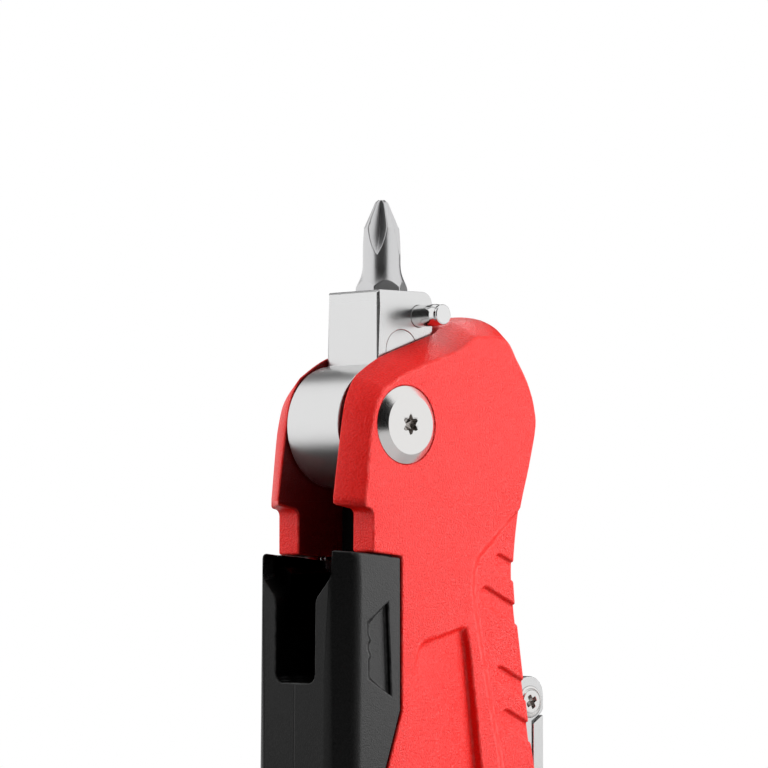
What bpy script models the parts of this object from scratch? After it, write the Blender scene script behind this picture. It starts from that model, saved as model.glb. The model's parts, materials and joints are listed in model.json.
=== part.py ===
"""Folding utility knife with a flip-out bit driver, modelled as separate pieces.

The knife stands on its butt: +Z runs up the handle, -Y is the front, where the
driver and the storage door are, +Y is the spine, where the blade folds in, and
+X is the right broad side.  Lengths below are millimetres, written as (y, z) in
side view and as x across the thickness.
"""
import math

import bmesh
import bpy
import numpy as np
from mathutils import Matrix, Vector

MM = 0.001
FLAT = 1e-7                   # how far out of plane a face may be, in metres
GAP = 0.3                     # play between pieces that touch

# Handle
HALF_THICK = 9.75             # mid-plane to broad face
EDGE_X = 5.25                 # where the sloping edge of the broad face starts
# How far that slope runs in from the outline, at different heights.
EDGE_FRONT = ((0, 0.8), (20, 2.3), (89, 2.65), (99, 2.2), (104, 2.5), (108, 3.0))
EDGE_BACK = ((0, 0.8), (20, 1.7), (104, 1.6), (111, 3.0))
BEYOND = 12.0                 # an x outside the handle, for cuts that run right through
SLOT_X = 5.55                 # half width of the driver slot and inner cavity
BLADE_SLOT_X = 3.3            # half width of the slot in the spine
POCKET_X = 7.45               # depth of the spare blade pockets
NOTCH_Y = -9.8                # flats that the thumb pin folds against
NOTCH_Z = (82.4, 88.9)
SLOT_BACK_Y = 6.3             # wall behind the driver block
FLOOR_Z = 8.0                 # solid butt below the inner cavity

# Driver
DRIVER_PIVOT = (-3.7, 99.8)
HUB_R = 8.5
HUB_X = 5.2
BLOCK_Y = (-4.75, 5.5)
BLOCK_FOOT = 106.2
BLOCK_TOP = 118.5
BIT_Y = 0.7
BIT_TIP = 131.4
HEX_FLATS = 6.35
PIN_YZ = (2.9, 115.1)
PIN_R = 1.35
PIN_X = 10.2
STUD_SEAT_X = 3.8             # how near the socket the thumb studs are pressed in
PLUG_YZ = (-0.3, 110.2)
PLUG_R = 2.75

# Storage door
DOOR_HINGE = (-12.5, 42.0)
DOOR_TOP = 81.7               # at the back
DOOR_TOP_SLOPE = 0.065        # how the top rises towards the front
DOOR_FRONT_Y = (-15.6, -15.2)  # at the foot and at the top
DOOR_FRONT_X = 6.8            # half width of the front face
DOOR_EDGE_Y = (-13.1, -12.7)  # where the front slope meets the side face
DOOR_BACK_Y = -4.8
DOOR_WALL_Y = -12.4           # back of the front wall, which the slot's funnel is cut through
TONGUE_X = 5.2
DOOR_LINE = ((DOOR_BACK_Y, 59.5), (-7.9, 52.0), (-17.0, 43.8))

# Blade and its carrier
BLADE_PIVOT = (14.0, 12.0)
BLADE_LENGTH = 61.0
BLADE_SPINE = 33.0
BLADE_WIDTH = 19.0
BLADE_THICK = 0.6
BLADE_BACK_Y = 25.2
BLADE_MID_Z = 49.7
CARRIER_X = 2.7
CARRIER_BACK_Y = 29.7
TANG_R = 9.2
CLAMP_YZ = (27.0, 61.25)
BUTTON_Z = (40.0, 53.0)
BUTTON_Y = (27.7, 29.5)

# Lock button, pivots, pins and shell screws
LOCK_YZ = (1.4, 13.5)
LOCK_HEAD_R = 4.0
LOCK_STEM_R = 2.3
HEAD_R = 5.3
HEAD_FLAT_R = 4.15
HEAD_SLOPE = 0.95             # height of the head's bevel
HEAD_UNDER = 8.6
HEAD_SEAT_R = 5.5
HEAD_TOP = 10.65
SHAFT_R = 2.8
SHAFT_END = -7.0
SLEEVE_R = 4.0
SLEEVE_END = -5.9
SHELL_SCREWS = ((13.0, 101.0), (-7.6, 14.0), (-7.2, 32.0))
SCREW_R = 1.5
SCREW_HEAD_R = 2.9
SCREW_END = 7.0
SCREW_UNDER = -8.2
SCREW_TOP = -9.55
HINGE_PIN_R = 1.2
HINGE_PIN_X = 7.0

RED = (0.80, 0.03, 0.03)
BLACK = (0.02, 0.02, 0.022)
CHROME = (0.75, 0.75, 0.76)
STEEL = (0.55, 0.55, 0.56)
BRONZE = (0.55, 0.42, 0.2)

# World axes for a flat outline: its own x, y and z run along Y, Z and X.
SIDE_VIEW = Matrix(((0, 0, 1, 0), (1, 0, 0, 0), (0, 1, 0, 0), (0, 0, 0, 1)))


# Scene and collections
for old in list(bpy.data.objects):
    bpy.data.objects.remove(old, do_unlink=True)


def new_collection(name):
    group = bpy.data.collections.new(name)
    bpy.context.scene.collection.children.link(group)
    return group


PARTS = new_collection("folding_utility_knife")
CUTTERS = new_collection("cutters")


# Points in side view
def arc(centre, radius, start, end, steps):
    """Points on a circle from one angle to another, in degrees."""
    angles = np.radians(np.linspace(start, end, steps + 1))
    return [(centre[0] + radius * math.cos(a), centre[1] + radius * math.sin(a)) for a in angles]


def spline(points, steps):
    """A smooth curve through the points, with a few steps between each two."""
    p = np.array([points[0]] + list(points) + [points[-1]], float)
    t = np.linspace(0, 1, steps, endpoint=False)[:, None]
    spans = []
    for a, b, c, d in zip(p, p[1:], p[2:], p[3:]):
        spans.append(0.5 * (2 * b + (c - a) * t + (2 * a - 5 * b + 4 * c - d) * t ** 2
                            + (3 * b - a - 3 * c + d) * t ** 3))
    return [tuple(q) for q in np.vstack(spans)] + [tuple(points[-1])]


def inset(points, distances):
    """Move each point of a closed, counter-clockwise outline inwards by its own distance."""
    p = np.array(points, float)
    before = p - np.roll(p, 1, axis=0)
    after = np.roll(p, -1, axis=0) - p
    before /= np.linalg.norm(before, axis=1)[:, None]
    after /= np.linalg.norm(after, axis=1)[:, None]
    left = np.stack([-before[:, 1] - after[:, 1], before[:, 0] + after[:, 0]], axis=1)
    left /= np.linalg.norm(left, axis=1)[:, None]
    mitre = np.maximum(np.abs(left[:, 0] * -before[:, 1] + left[:, 1] * before[:, 0]), 0.4)
    return [tuple(q) for q in p + left * (np.array(distances) / mitre)[:, None]]


def grown(points, distance):
    return inset(points, [-distance] * len(points))


# Solids
def add(name, mesh, group):
    obj = bpy.data.objects.new(name, mesh)
    group.objects.link(obj)
    if group is CUTTERS:
        obj.hide_render = True
        obj.display_type = "WIRE"
    return obj


def plate(name, outline, x0, x1, group=PARTS):
    """A flat outline in side view, with its thickness from x0 to x1."""
    curve = bpy.data.curves.new(name, "CURVE")
    curve.dimensions = "2D"
    curve.fill_mode = "BOTH"
    curve.extrude = (x1 - x0) / 2 * MM
    line = curve.splines.new("POLY")
    line.points.add(len(outline) - 1)
    for point, (y, z) in zip(line.points, outline):
        point.co = (y * MM, z * MM, 0, 1)
    line.use_cyclic_u = True
    flat = bpy.data.objects.new(name + "_outline", curve)
    PARTS.objects.link(flat)
    flat.matrix_world = Matrix.Translation(((x0 + x1) / 2 * MM, 0, 0)) @ SIDE_VIEW
    view = bpy.context.evaluated_depsgraph_get()
    mesh = bpy.data.meshes.new_from_object(flat.evaluated_get(view))
    mesh.transform(flat.matrix_world)
    bm = bmesh.new()
    bm.from_mesh(mesh)
    bmesh.ops.remove_doubles(bm, verts=bm.verts, dist=1e-6)
    bmesh.ops.recalc_face_normals(bm, faces=bm.faces)
    bm.to_mesh(mesh)
    bm.free()
    bpy.data.objects.remove(flat, do_unlink=True)
    return add(name, mesh, group)


def box(name, x, y, z, group=PARTS):
    bm = bmesh.new()
    bmesh.ops.create_cube(bm, size=1)
    size = [(b - a) * MM for a, b in (x, y, z)]
    middle = [(a + b) / 2 * MM for a, b in (x, y, z)]
    place = Matrix.Translation(middle) @ Matrix.Diagonal(size + [1])
    bmesh.ops.transform(bm, matrix=place, verts=bm.verts)
    mesh = bpy.data.meshes.new(name)
    bm.to_mesh(mesh)
    bm.free()
    return add(name, mesh, group)


def rod(name, centre, radius, x0, x1, group=PARTS, sides=32):
    """A cylinder along X."""
    bm = bmesh.new()
    bmesh.ops.create_cone(bm, cap_ends=True, segments=sides, radius1=radius * MM, radius2=radius * MM,
                          depth=(x1 - x0) * MM)
    middle = Vector(((x0 + x1) / 2, centre[0], centre[1])) * MM
    bmesh.ops.transform(bm, matrix=Matrix.Translation(middle) @ SIDE_VIEW, verts=bm.verts)
    mesh = bpy.data.meshes.new(name)
    bm.to_mesh(mesh)
    bm.free()
    return add(name, mesh, group)


def turned(name, profile, place, turn=SIDE_VIEW, group=PARTS, sides=32):
    """Turn a (radius, height) profile, listed from the top down, about an axis."""
    mesh = bpy.data.meshes.new(name)
    rows = [(r * MM, 0, h * MM) for r, h in profile]
    mesh.from_pydata(rows, [(i, i + 1) for i in range(len(rows) - 1)], [])
    obj = add(name, mesh, group)
    obj.matrix_world = Matrix.Translation(Vector(place) * MM) @ turn
    screw = obj.modifiers.new("turn", "SCREW")
    screw.steps = screw.render_steps = sides
    screw.use_merge_vertices = True
    screw.merge_threshold = 1e-6
    return obj


def loft(name, rings, group=PARTS):
    """Join rings of equally many (x, y, z) points, split what is twisted, and close both ends."""
    bm = bmesh.new()
    rows = [[bm.verts.new(Vector(p) * MM) for p in ring] for ring in rings]
    count = len(rows[0])
    for low, high in zip(rows, rows[1:]):
        for i in range(count):
            j = (i + 1) % count
            bm.faces.new((low[i], low[j], high[j], high[i]))
    bm.normal_update()
    twisted = [f for f in bm.faces if abs(f.normal.dot(f.verts[0].co - f.calc_center_median())) > FLAT]
    bmesh.ops.triangulate(bm, faces=twisted)
    bm.faces.new(rows[0][::-1])
    bm.faces.new(rows[-1])
    bmesh.ops.recalc_face_normals(bm, faces=bm.faces)
    mesh = bpy.data.meshes.new(name)
    bm.to_mesh(mesh)
    bm.free()
    return add(name, mesh, group)


def boolean(obj, tool, operation="DIFFERENCE"):
    step = obj.modifiers.new(tool.name, "BOOLEAN")
    step.operation = operation
    step.object = tool
    return obj


def finish(obj, colour, roughness, metallic=0.0, smooth=30):
    """Give the piece its own material, and shade its round faces smooth."""
    material = bpy.data.materials.new(obj.name)
    material.use_nodes = True
    shader = material.node_tree.nodes["Principled BSDF"]
    shader.inputs["Base Color"].default_value = (*colour, 1)
    shader.inputs["Roughness"].default_value = roughness
    shader.inputs["Metallic"].default_value = metallic
    obj.data.materials.append(material)
    obj.data.shade_smooth()
    obj.data.set_sharp_from_angle(angle=math.radians(smooth))
    return obj


def axis_empty(name, y, z, x=0.0):
    empty = bpy.data.objects.new(name, None)
    empty.location = Vector((x, y, z)) * MM
    PARTS.objects.link(empty)
    return empty


def carry(empty, *pieces):
    """Hang pieces on the empty that marks their joint, where they stand."""
    for piece in pieces:
        piece.parent = empty
        piece.matrix_parent_inverse = Matrix.Translation(-empty.location)


def star(centre, outer, inner, points):
    radii = [outer, inner] * points
    angles = np.linspace(0, 2 * math.pi, 2 * points, endpoint=False)
    return [(centre[0] + r * math.cos(a), centre[1] + r * math.sin(a)) for r, a in zip(radii, angles)]


def cross(centre, arm, half):
    """A slanting cross, for a cross recess."""
    quarter = [(arm, -half), (arm, half), (half, half)]
    points = []
    for k in range(4):
        turn = math.pi / 4 + k * math.pi / 2
        c, s = math.cos(turn), math.sin(turn)
        points += [(centre[0] + c * y - s * z, centre[1] + s * y + c * z) for y, z in quarter]
    return points


# Handle shells
def handle_outline():
    back = spline([(18.0, 0.0), (22.9, 7.0), (24.9, 25.0), (24.2, 44.7), (22.1, 56.8), (20.0, 70.0),
                   (19.0, 76.7), (18.9, 81.7), (19.9, 88.5), (21.5, 94.0), (22.9, 100.0), (22.5, 103.5),
                   (21.3, 108.2), (18.6, 113.2), (15.8, 115.0), (12.2, 115.4), (8.3, 115.0)], 4)
    nose = spline([(5.2, 113.1), (-3.7, 110.0), (-6.4, 108.8), (-8.5, 107.5), (-9.9, 106.4), (-11.15, 104.2),
                   (-11.85, 102.0), (-12.6, 97.5), (-13.75, 90.0)], 3)
    front = [(-13.75, 60.0), (-15.5, 50.0), (-15.5, 40.0)]
    foot = spline([(-15.5, 36.0), (-14.6, 20.0), (-11.5, 4.0), (-8.5, 0.0)], 4)
    return back + nose + front + foot


# What the shells are cut by, in side view.
CAVITY = [(-20, 37), (-2.3, 37), (-2.3, FLOOR_Z), (15.0, FLOOR_Z), (15.0, 80), (9.0, 86),
          (SLOT_BACK_Y, 90), (SLOT_BACK_Y, 125), (-20, 125)]
BLADE_SLOT = [(0.4, -5), (35, -5), (35, 69), (18.5, 71), (7.2, 84), (5.2, 84), (5.2, 27), (4.2, 23),
              (4.2, 9.5), (1.8, 0)]
POCKET = [(-4.9, 20.5), (15.3, 20.5), (15.3, 82.2), (-6.0, 82.2), (-6.0, 62.0), (-4.9, 60.5)]
ROOM_BACK_Y = DOOR_BACK_Y + GAP
ROOM_FOOT = DOOR_LINE[2][1] - 1.4 * GAP
ROOM_TOP = DOOR_TOP + 0.45    # at the back; it rises to the front as the door does
DOOR_ROOM = [(ROOM_BACK_Y, ROOM_TOP), (ROOM_BACK_Y, DOOR_LINE[0][1]),
             (DOOR_LINE[1][0] + GAP, DOOR_LINE[1][1] - GAP / 2), (DOOR_LINE[2][0], ROOM_FOOT),
             (-25, ROOM_FOOT), (-25, ROOM_TOP + DOOR_TOP_SLOPE * (ROOM_BACK_Y + 25))]
NOTCH = [(-20, NOTCH_Z[0] - 1), (NOTCH_Y, NOTCH_Z[0] - 1)]
NOTCH += arc((NOTCH_Y - 0.9, NOTCH_Z[1] - 1.4), 0.9, 0, 80, 4) + [(-20, NOTCH_Z[1] + 1.2)]
PANEL = [(-2.9, 26.0), (-1.0, 20.5), (10.5, 20.5), (11.8, 26.0), (11.6, 40.0), (10.6, 52.4), (9.3, 62.0),
         (8.3, 69.6), (7.5, 71.4), (6.9, 71.5), (0.0, 69.8), (-0.8, 69.2), (-1.5, 66.8), (-2.5, 62.3),
         (-2.9, 55.0)]
PANEL_DEPTH = 0.2             # at its front edge, from where it slopes in
PANEL_TILT = math.radians(5)
GRIP_EDGE = [(20.5, 90.2), (17.6, 88.1), (14.2, 85.6), (9.9, 82.1), (8.8, 79.0), (8.9, 75.6), (10.0, 70.7),
             (11.7, 62.8), (13.0, 57.5), (14.1, 52.4), (15.3, 44.0), (15.9, 34.0), (17.0, 24.0), (19.5, 17.0),
             (26.0, 12.0)]
GRIP_DEPTH = 0.6
GROOVES = ((14.3, 82.5), (11.6, 78.0), (14.4, 66.9), (15.6, 60.9), (17.0, 51.2), (17.7, 45.2))
GROOVE_WIDTH = 2.3
GROOVE_DEPTH = 0.7
GROOVE_ANGLE = -25


def groove_outline(y, z):
    """A slanting groove with a round end, running out of the back of the handle."""
    turn = math.radians(GROOVE_ANGLE)
    end = arc((0.9, -0.9), 0.9, 90, 180, 3) + arc((0.9, -GROOVE_WIDTH + 0.9), 0.9, 180, 270, 3)
    shape = end + [(16, -GROOVE_WIDTH), (16, 0)]
    return [(y + u * math.cos(turn) - v * math.sin(turn), z + u * math.sin(turn) + v * math.cos(turn))
            for u, v in shape]


def handle_shell(name, side):
    """One half of the handle.  side is +1 for the right half and -1 for the left."""
    outer = handle_outline()
    rim = inset(outer, [np.interp(z, *zip(*(EDGE_FRONT if y < 0 else EDGE_BACK))) for y, z in outer])
    levels = ((GAP / 2, outer), (EDGE_X, outer), (HALF_THICK, rim))
    shell = loft(name, [[(side * x, y, z) for y, z in ring] for x, ring in levels])

    def cut(label, outline, x0, x1):
        low, high = sorted((side * x0, side * x1))
        tool = plate(f"{name}_{label}", outline, low, high, CUTTERS)
        boolean(shell, tool)
        return tool

    cut("cavity", CAVITY, -1, SLOT_X)
    cut("blade_slot", BLADE_SLOT, -1, BLADE_SLOT_X)
    cut("door_room", DOOR_ROOM, -1, BEYOND)
    cut("notch", NOTCH, -1, BEYOND)
    cut("pocket", POCKET, SLOT_X - 1, POCKET_X)
    panel = cut("panel", PANEL, HALF_THICK - PANEL_DEPTH, BEYOND + 2)
    hinge = Matrix.Translation(Vector((side * HALF_THICK, PANEL[0][0], 0)) * MM)
    panel.data.transform(hinge @ Matrix.Rotation(side * PANEL_TILT, 4, "Z") @ hinge.inverted())
    zone = spline(GRIP_EDGE, 3) + [(35, 12), (35, 95), (24, 93)]
    cut("grip_zone", zone, HALF_THICK - GRIP_DEPTH, BEYOND)
    for number, (y, z) in enumerate(GROOVES, 1):
        cut(f"groove_{number}", groove_outline(y, z), HALF_THICK - GRIP_DEPTH - GROOVE_DEPTH, BEYOND)
    return shell


def bore(obj, label, centre, radius, x0, x1, sides=32):
    return boolean(obj, rod(f"{obj.name}_{label}", centre, radius, x0, x1, CUTTERS, sides))


right = handle_shell("handle_shell_right", 1)
left = handle_shell("handle_shell_left", -1)

# A lug on the right half seats in the left half, so that the butt is one face at the middle.
LUG_X = (-4.0, 1.0)
LUG_Y = (-5.0, 1.3)
LUG_TOP = 6.0
boolean(right, box("locating_lug", LUG_X, LUG_Y, (0.0, LUG_TOP), CUTTERS), "UNION")
room_y = (LUG_Y[0] - GAP, LUG_Y[1] + GAP)
boolean(left, box("lug_room", (LUG_X[0] - GAP, LUG_X[1]), room_y, (-1.0, LUG_TOP + GAP), CUTTERS))

for side, shell in ((1, right), (-1, left)):
    for label, centre in (("driver_pivot", DRIVER_PIVOT), ("blade_pivot", BLADE_PIVOT)):
        seat = sorted((side * (HEAD_UNDER - GAP), side * BEYOND))
        bore(shell, label + "_seat", centre, HEAD_SEAT_R, *seat, sides=40)
        through = sorted((side * 1, side * BEYOND))
        bore(shell, label + "_hole", centre, (SHAFT_R if side > 0 else SLEEVE_R) + GAP, *through)
    pin_end = sorted((side * 1, side * (HINGE_PIN_X + GAP)))
    bore(shell, "hinge_hole", DOOR_HINGE, HINGE_PIN_R + GAP, *pin_end, sides=16)
    for number, centre in enumerate(SHELL_SCREWS, 1):
        deep = (-1, SCREW_END + 0.5) if side > 0 else (-BEYOND, 1)
        bore(shell, f"screw_hole_{number}", centre, SCREW_R + GAP, *deep, sides=16)
        if side < 0:
            head_room = (-BEYOND, SCREW_UNDER + GAP)
            bore(shell, f"screw_seat_{number}", centre, SCREW_HEAD_R + GAP, *head_room, sides=24)
bore(right, "lock_seat", LOCK_YZ, LOCK_HEAD_R + GAP, 6.5, BEYOND)
bore(right, "lock_hole", LOCK_YZ, LOCK_STEM_R + GAP, -1, BEYOND, sides=24)
bore(left, "lock_hole", LOCK_YZ, LOCK_STEM_R + GAP, -9.0, 1, sides=24)
for shell in (right, left):
    finish(shell, RED, 0.45, smooth=25)


# Fasteners
def pivot_pair(label, centre):
    """A headed screw from the right and a headed sleeve nut from the left."""
    head = [(0, HEAD_TOP), (HEAD_FLAT_R, HEAD_TOP), (HEAD_R, HEAD_TOP - HEAD_SLOPE), (HEAD_R, HEAD_UNDER)]
    shaft = [(SHAFT_R, HEAD_UNDER), (SHAFT_R, SHAFT_END), (0, SHAFT_END)]
    screw = turned(label + "_screw", head + shaft, (0, *centre), sides=40)
    boolean(screw, plate(label + "_star", star(centre, 1.35, 0.85, 6), HEAD_TOP - 1.2, BEYOND, CUTTERS))
    bore_r, bore_end = SHAFT_R + GAP, SHAFT_END - GAP
    sleeve = [(0, bore_end), (bore_r, bore_end), (bore_r, SLEEVE_END), (SLEEVE_R, SLEEVE_END),
              (SLEEVE_R, -HEAD_UNDER)]
    nut = turned(label + "_nut", sleeve + [(r, -h) for r, h in reversed(head)], (0, *centre), sides=40)
    return finish(screw, CHROME, 0.25, 1.0), finish(nut, CHROME, 0.25, 1.0)


pivot_pair("driver_pivot", DRIVER_PIVOT)
pivot_pair("blade_pivot", BLADE_PIVOT)
for number, centre in enumerate(SHELL_SCREWS, 1):
    profile = [(0, SCREW_END), (SCREW_R, SCREW_END), (SCREW_R, SCREW_UNDER), (SCREW_HEAD_R, SCREW_UNDER),
               (SCREW_HEAD_R, SCREW_TOP + 0.3), (SCREW_HEAD_R - 0.4, SCREW_TOP), (0, SCREW_TOP)]
    screw = turned(f"handle_screw_{number}", profile, (0, *centre), sides=20)
    recess = star(centre, 1.3, 0.8, 6)
    boolean(screw, plate(f"handle_screw_{number}_star", recess, -BEYOND, SCREW_TOP + 0.95, CUTTERS))
    finish(screw, STEEL, 0.35, 1.0)
finish(rod("door_hinge_pin", DOOR_HINGE, HINGE_PIN_R, -HINGE_PIN_X, HINGE_PIN_X, sides=16), STEEL, 0.35, 1.0)

# Inner spacer, between the driver slot and the blade
SPACER = [(-2.0, FLOOR_Z + GAP), (14.7, FLOOR_Z + GAP), (14.7, 79.9), (8.9, 85.7), (5.5, 89.8), (-2.0, 89.8)]
spacer = plate("inner_spacer", SPACER, -SLOT_X + GAP, SLOT_X - GAP)
boolean(spacer, plate("spacer_slot", BLADE_SLOT, -BLADE_SLOT_X, BLADE_SLOT_X, CUTTERS))
bore(spacer, "pivot_hole", BLADE_PIVOT, SLEEVE_R + GAP, -8, 8)
bore(spacer, "lock_hole", LOCK_YZ, LOCK_STEM_R + GAP, -8, 8, sides=24)
finish(spacer, BLACK, 0.5)

# Driver: hub and block in one piece, with a hexagonal socket
driver_axis = axis_empty("driver_axis", *DRIVER_PIVOT)
holder = rod("bit_holder", DRIVER_PIVOT, HUB_R, -HUB_X, HUB_X, sides=56)
BLOCK_CORNER_R = 1.8
block_outline = [(BLOCK_Y[0], BLOCK_FOOT), (BLOCK_Y[1], BLOCK_FOOT)]
block_outline += arc((BLOCK_Y[1] - BLOCK_CORNER_R, BLOCK_TOP - BLOCK_CORNER_R), BLOCK_CORNER_R, 0, 90, 6)
block_outline += [(BLOCK_Y[0] + 0.4, BLOCK_TOP), (BLOCK_Y[0], BLOCK_TOP - 0.4)]
block = plate("driver_block", block_outline, -HUB_X, HUB_X, CUTTERS)
boolean(holder, block, "UNION")


def hexagon(name, flats, z0, z1):
    """An upright hexagonal bar on the bit's axis, with flats to the front and back."""
    bm = bmesh.new()
    radius = flats / math.sqrt(3) * MM
    bmesh.ops.create_cone(bm, cap_ends=True, segments=6, radius1=radius, radius2=radius, depth=(z1 - z0) * MM)
    bmesh.ops.rotate(bm, matrix=Matrix.Rotation(math.radians(30), 3, "Z"), verts=bm.verts)
    bmesh.ops.translate(bm, vec=Vector((0, BIT_Y, (z0 + z1) / 2)) * MM, verts=bm.verts)
    mesh = bpy.data.meshes.new(name)
    bm.to_mesh(mesh)
    bm.free()
    return add(name, mesh, CUTTERS)


boolean(holder, hexagon("hex_socket", HEX_FLATS + 2 * GAP, 108.4, 125))
bore(holder, "pivot_bore", DRIVER_PIVOT, SHAFT_R + GAP, -8, 8)
SEAT_GAP = 0.2                # play round the studs and the plug, which are pressed in
for side in (1, -1):
    seat = sorted((side * (STUD_SEAT_X - SEAT_GAP), side * 8))
    bore(holder, f"stud_hole_{side}", PIN_YZ, PIN_R + SEAT_GAP, *seat, sides=24)
bore(holder, "plug_hole", PLUG_YZ, PLUG_R + SEAT_GAP, 4.1, 8)
finish(holder, CHROME, 0.3, 1.0)


for side, label in ((1, "thumb_stud_right"), (-1, "thumb_stud_left")):
    tip = [(0, PIN_X), (PIN_R - 0.55, PIN_X), (PIN_R - 0.16, PIN_X - 0.16), (PIN_R, PIN_X - 0.55),
           (PIN_R, STUD_SEAT_X), (0, STUD_SEAT_X)]
    turn = SIDE_VIEW if side > 0 else Matrix.Rotation(math.pi, 4, "Z") @ SIDE_VIEW
    carry(driver_axis, finish(turned(label, tip, (0, *PIN_YZ), turn, sides=24), CHROME, 0.12, 1.0))
plug = finish(rod("socket_plug", PLUG_YZ, PLUG_R, 4.3, HUB_X - 0.04, sides=40), CHROME, 0.3, 1.0)
MAGNET = [(0, 110.6), (2.6, 110.6), (2.6, 108.7), (0, 108.7)]
magnet = finish(turned("socket_magnet", MAGNET, (0, BIT_Y, 0), Matrix(), sides=24), STEEL, 0.3, 1.0)

# Driver bit: a turned shape inside a hexagonal bar, with four tapering flutes
BIT_FOOT = 110.9
bit_profile = [(0, BIT_TIP), (0.55, BIT_TIP), (0.95, BIT_TIP - 0.35), (2.58, 127.2), (2.62, 122.3)]
bit_profile += [(2.62 + t ** 1.8, 122.3 - 3.1 * t) for t in np.linspace(0.2, 1.25, 7)]
bit_profile += [(4.0, BIT_FOOT), (0, BIT_FOOT)]
bit = turned("driver_bit", bit_profile, (0, BIT_Y, 0), Matrix(), sides=48)
boolean(bit, hexagon("hex_bar", HEX_FLATS, BIT_FOOT - 1, BIT_TIP + 1), "INTERSECT")
FLUTE_END = 123.6
FLUTE_SPREAD = 1.3            # how much wider than a right angle the flutes open
for number in range(4):
    flute = box(f"bit_flute_{number + 1}", (-2, 2), (-2, 2), (-9, 9), CUTTERS)
    lean = math.atan2(2.2, BIT_TIP - FLUTE_END)
    spin = math.radians(45 + 90 * number)
    flute.data.transform(
        Matrix.Translation(Vector((0, BIT_Y, FLUTE_END)) * MM) @ Matrix.Rotation(spin, 4, "Z")
        @ Matrix.Translation(Vector((2.6, 0, 0)) * MM) @ Matrix.Rotation(-lean, 4, "Y")
        @ Matrix.Diagonal((1, FLUTE_SPREAD, 1, 1)) @ Matrix.Translation(Vector((2 * math.sqrt(2), 0, 0)) * MM)
        @ Matrix.Rotation(math.radians(45), 4, "Z"))
    boolean(bit, flute)
finish(bit, STEEL, 0.3, 1.0)
carry(driver_axis, holder, plug, magnet, bit)

# Leaf spring that presses on the hub from behind
leaf = spline([(5.85, 91.5), (5.5, 95.5), (5.15, 99.5), (5.55, 103.0), (5.85, 105.0)], 4)
leaf_spring = plate("driver_detent_spring", leaf + [(y + 0.35, z) for y, z in reversed(leaf)], -4, 4)
finish(leaf_spring, STEEL, 0.3, 1.0)

# Storage door, hinged at its foot
door_axis = axis_empty("door_axis", *DOOR_HINGE)
def door_ring(level, foot, slope):
    """Plan of the door at its foot (level 0) or top (level 1), rising by slope towards the front."""
    side = ((HALF_THICK, DOOR_BACK_Y), (HALF_THICK, DOOR_EDGE_Y[level]), (DOOR_FRONT_X, DOOR_FRONT_Y[level]))
    plan = list(side[::-1]) + [(-x, y) for x, y in side]
    return [(x, y, foot + slope * (DOOR_BACK_Y - y)) for x, y in plan]


door = loft("storage_door", [door_ring(0, DOOR_HINGE[1], 0.0), door_ring(1, DOOR_TOP, DOOR_TOP_SLOPE)])
below = list(DOOR_LINE) + [(-25, DOOR_LINE[2][1]), (-25, 30), (10, 30), (10, DOOR_LINE[0][1])]
boolean(door, plate("door_below", below, -BEYOND, BEYOND, CUTTERS))
tongue = [(-15.5, 46.5), (-15.5, 42.0)] + arc(DOOR_HINGE, 3.0, 180, 360, 10) + [(-9.5, 55), (-15.5, 55)]
boolean(door, plate("door_tongue", tongue, -TONGUE_X, TONGUE_X, CUTTERS), "UNION")
bore(door, "hinge_hole", DOOR_HINGE, HINGE_PIN_R + GAP, -8, 8, sides=16)


def door_cut(label, half, back_y):
    """Cut a slot, given as the right half of its front view, from the front of the door to back_y."""
    tool = plate(label, half + [(-x, z) for x, z in reversed(half)], -25, back_y, CUTTERS)
    tool.data.transform(Matrix(((0, -1, 0, 0), (1, 0, 0, 0), (0, 0, 1, 0), (0, 0, 0, 1))))
    boolean(door, tool)


SLOT_FOOT = arc((2.8, 66.0), 1.2, 0, -90, 3)
THROAT = spline([(6.7, 78.9), (6.2, 78.3), (4.7, 76.8), (4.15, 76.1), (4.0, 75.2)], 2)
door_cut("door_funnel", [(7.0, 84), (7.0, 79.4)] + THROAT + SLOT_FOOT, DOOR_WALL_Y)
door_cut("door_slot", [(5.7, 84), (5.7, 80.5), (4.0, 79.5)] + SLOT_FOOT, 0)
BLADE_MARK = [(-7.1, 75.2), (-6.5, 62.3), (-10.7, 64.8), (-10.8, 67.2), (-10.4, 67.9), (-10.8, 68.6),
              (-10.9, 69.4), (-10.5, 70.1), (-10.9, 70.8), (-10.95, 72.4)]
MARK_DEPTH = 0.7
boolean(door, plate("door_mark", BLADE_MARK, HALF_THICK - MARK_DEPTH, BEYOND, CUTTERS))
carry(door_axis, finish(door, BLACK, 0.45))


# Blades
def blade_outline(back_y, middle_z):
    """A trapezoid blade whose long cutting edge faces the front."""
    edge = back_y - BLADE_WIDTH
    long, short = BLADE_LENGTH / 2, BLADE_SPINE / 2
    notches = []
    for z in (middle_z - 3.5, middle_z + 3.5):
        notches += [(back_y, z - 1.4), (back_y - 2.2, z - 1.0), (back_y - 2.2, z + 1.0), (back_y, z + 1.4)]
    return [(edge, middle_z + long), (edge, middle_z - long), (back_y, middle_z - short), *notches,
            (back_y, middle_z + short)]


GRIND_ANGLE = math.radians(8)


def sharpen(blade, back_y, x):
    """Grind both sides of the cutting edge to a wedge."""
    edge = back_y - BLADE_WIDTH
    for side in (1, -1):
        stone = box(f"{blade.name}_stone_{side}", sorted((0, side * 2)), (-3, 3), (-60, 160), CUTTERS)
        lean = Matrix.Rotation(-side * GRIND_ANGLE, 4, "Z")
        place = Matrix.Translation(Vector((x + side * 0.05, edge, 0)) * MM)
        stone.data.transform(place @ lean)
        boolean(blade, stone)
    return finish(blade, CHROME, 0.25, 1.0)


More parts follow.
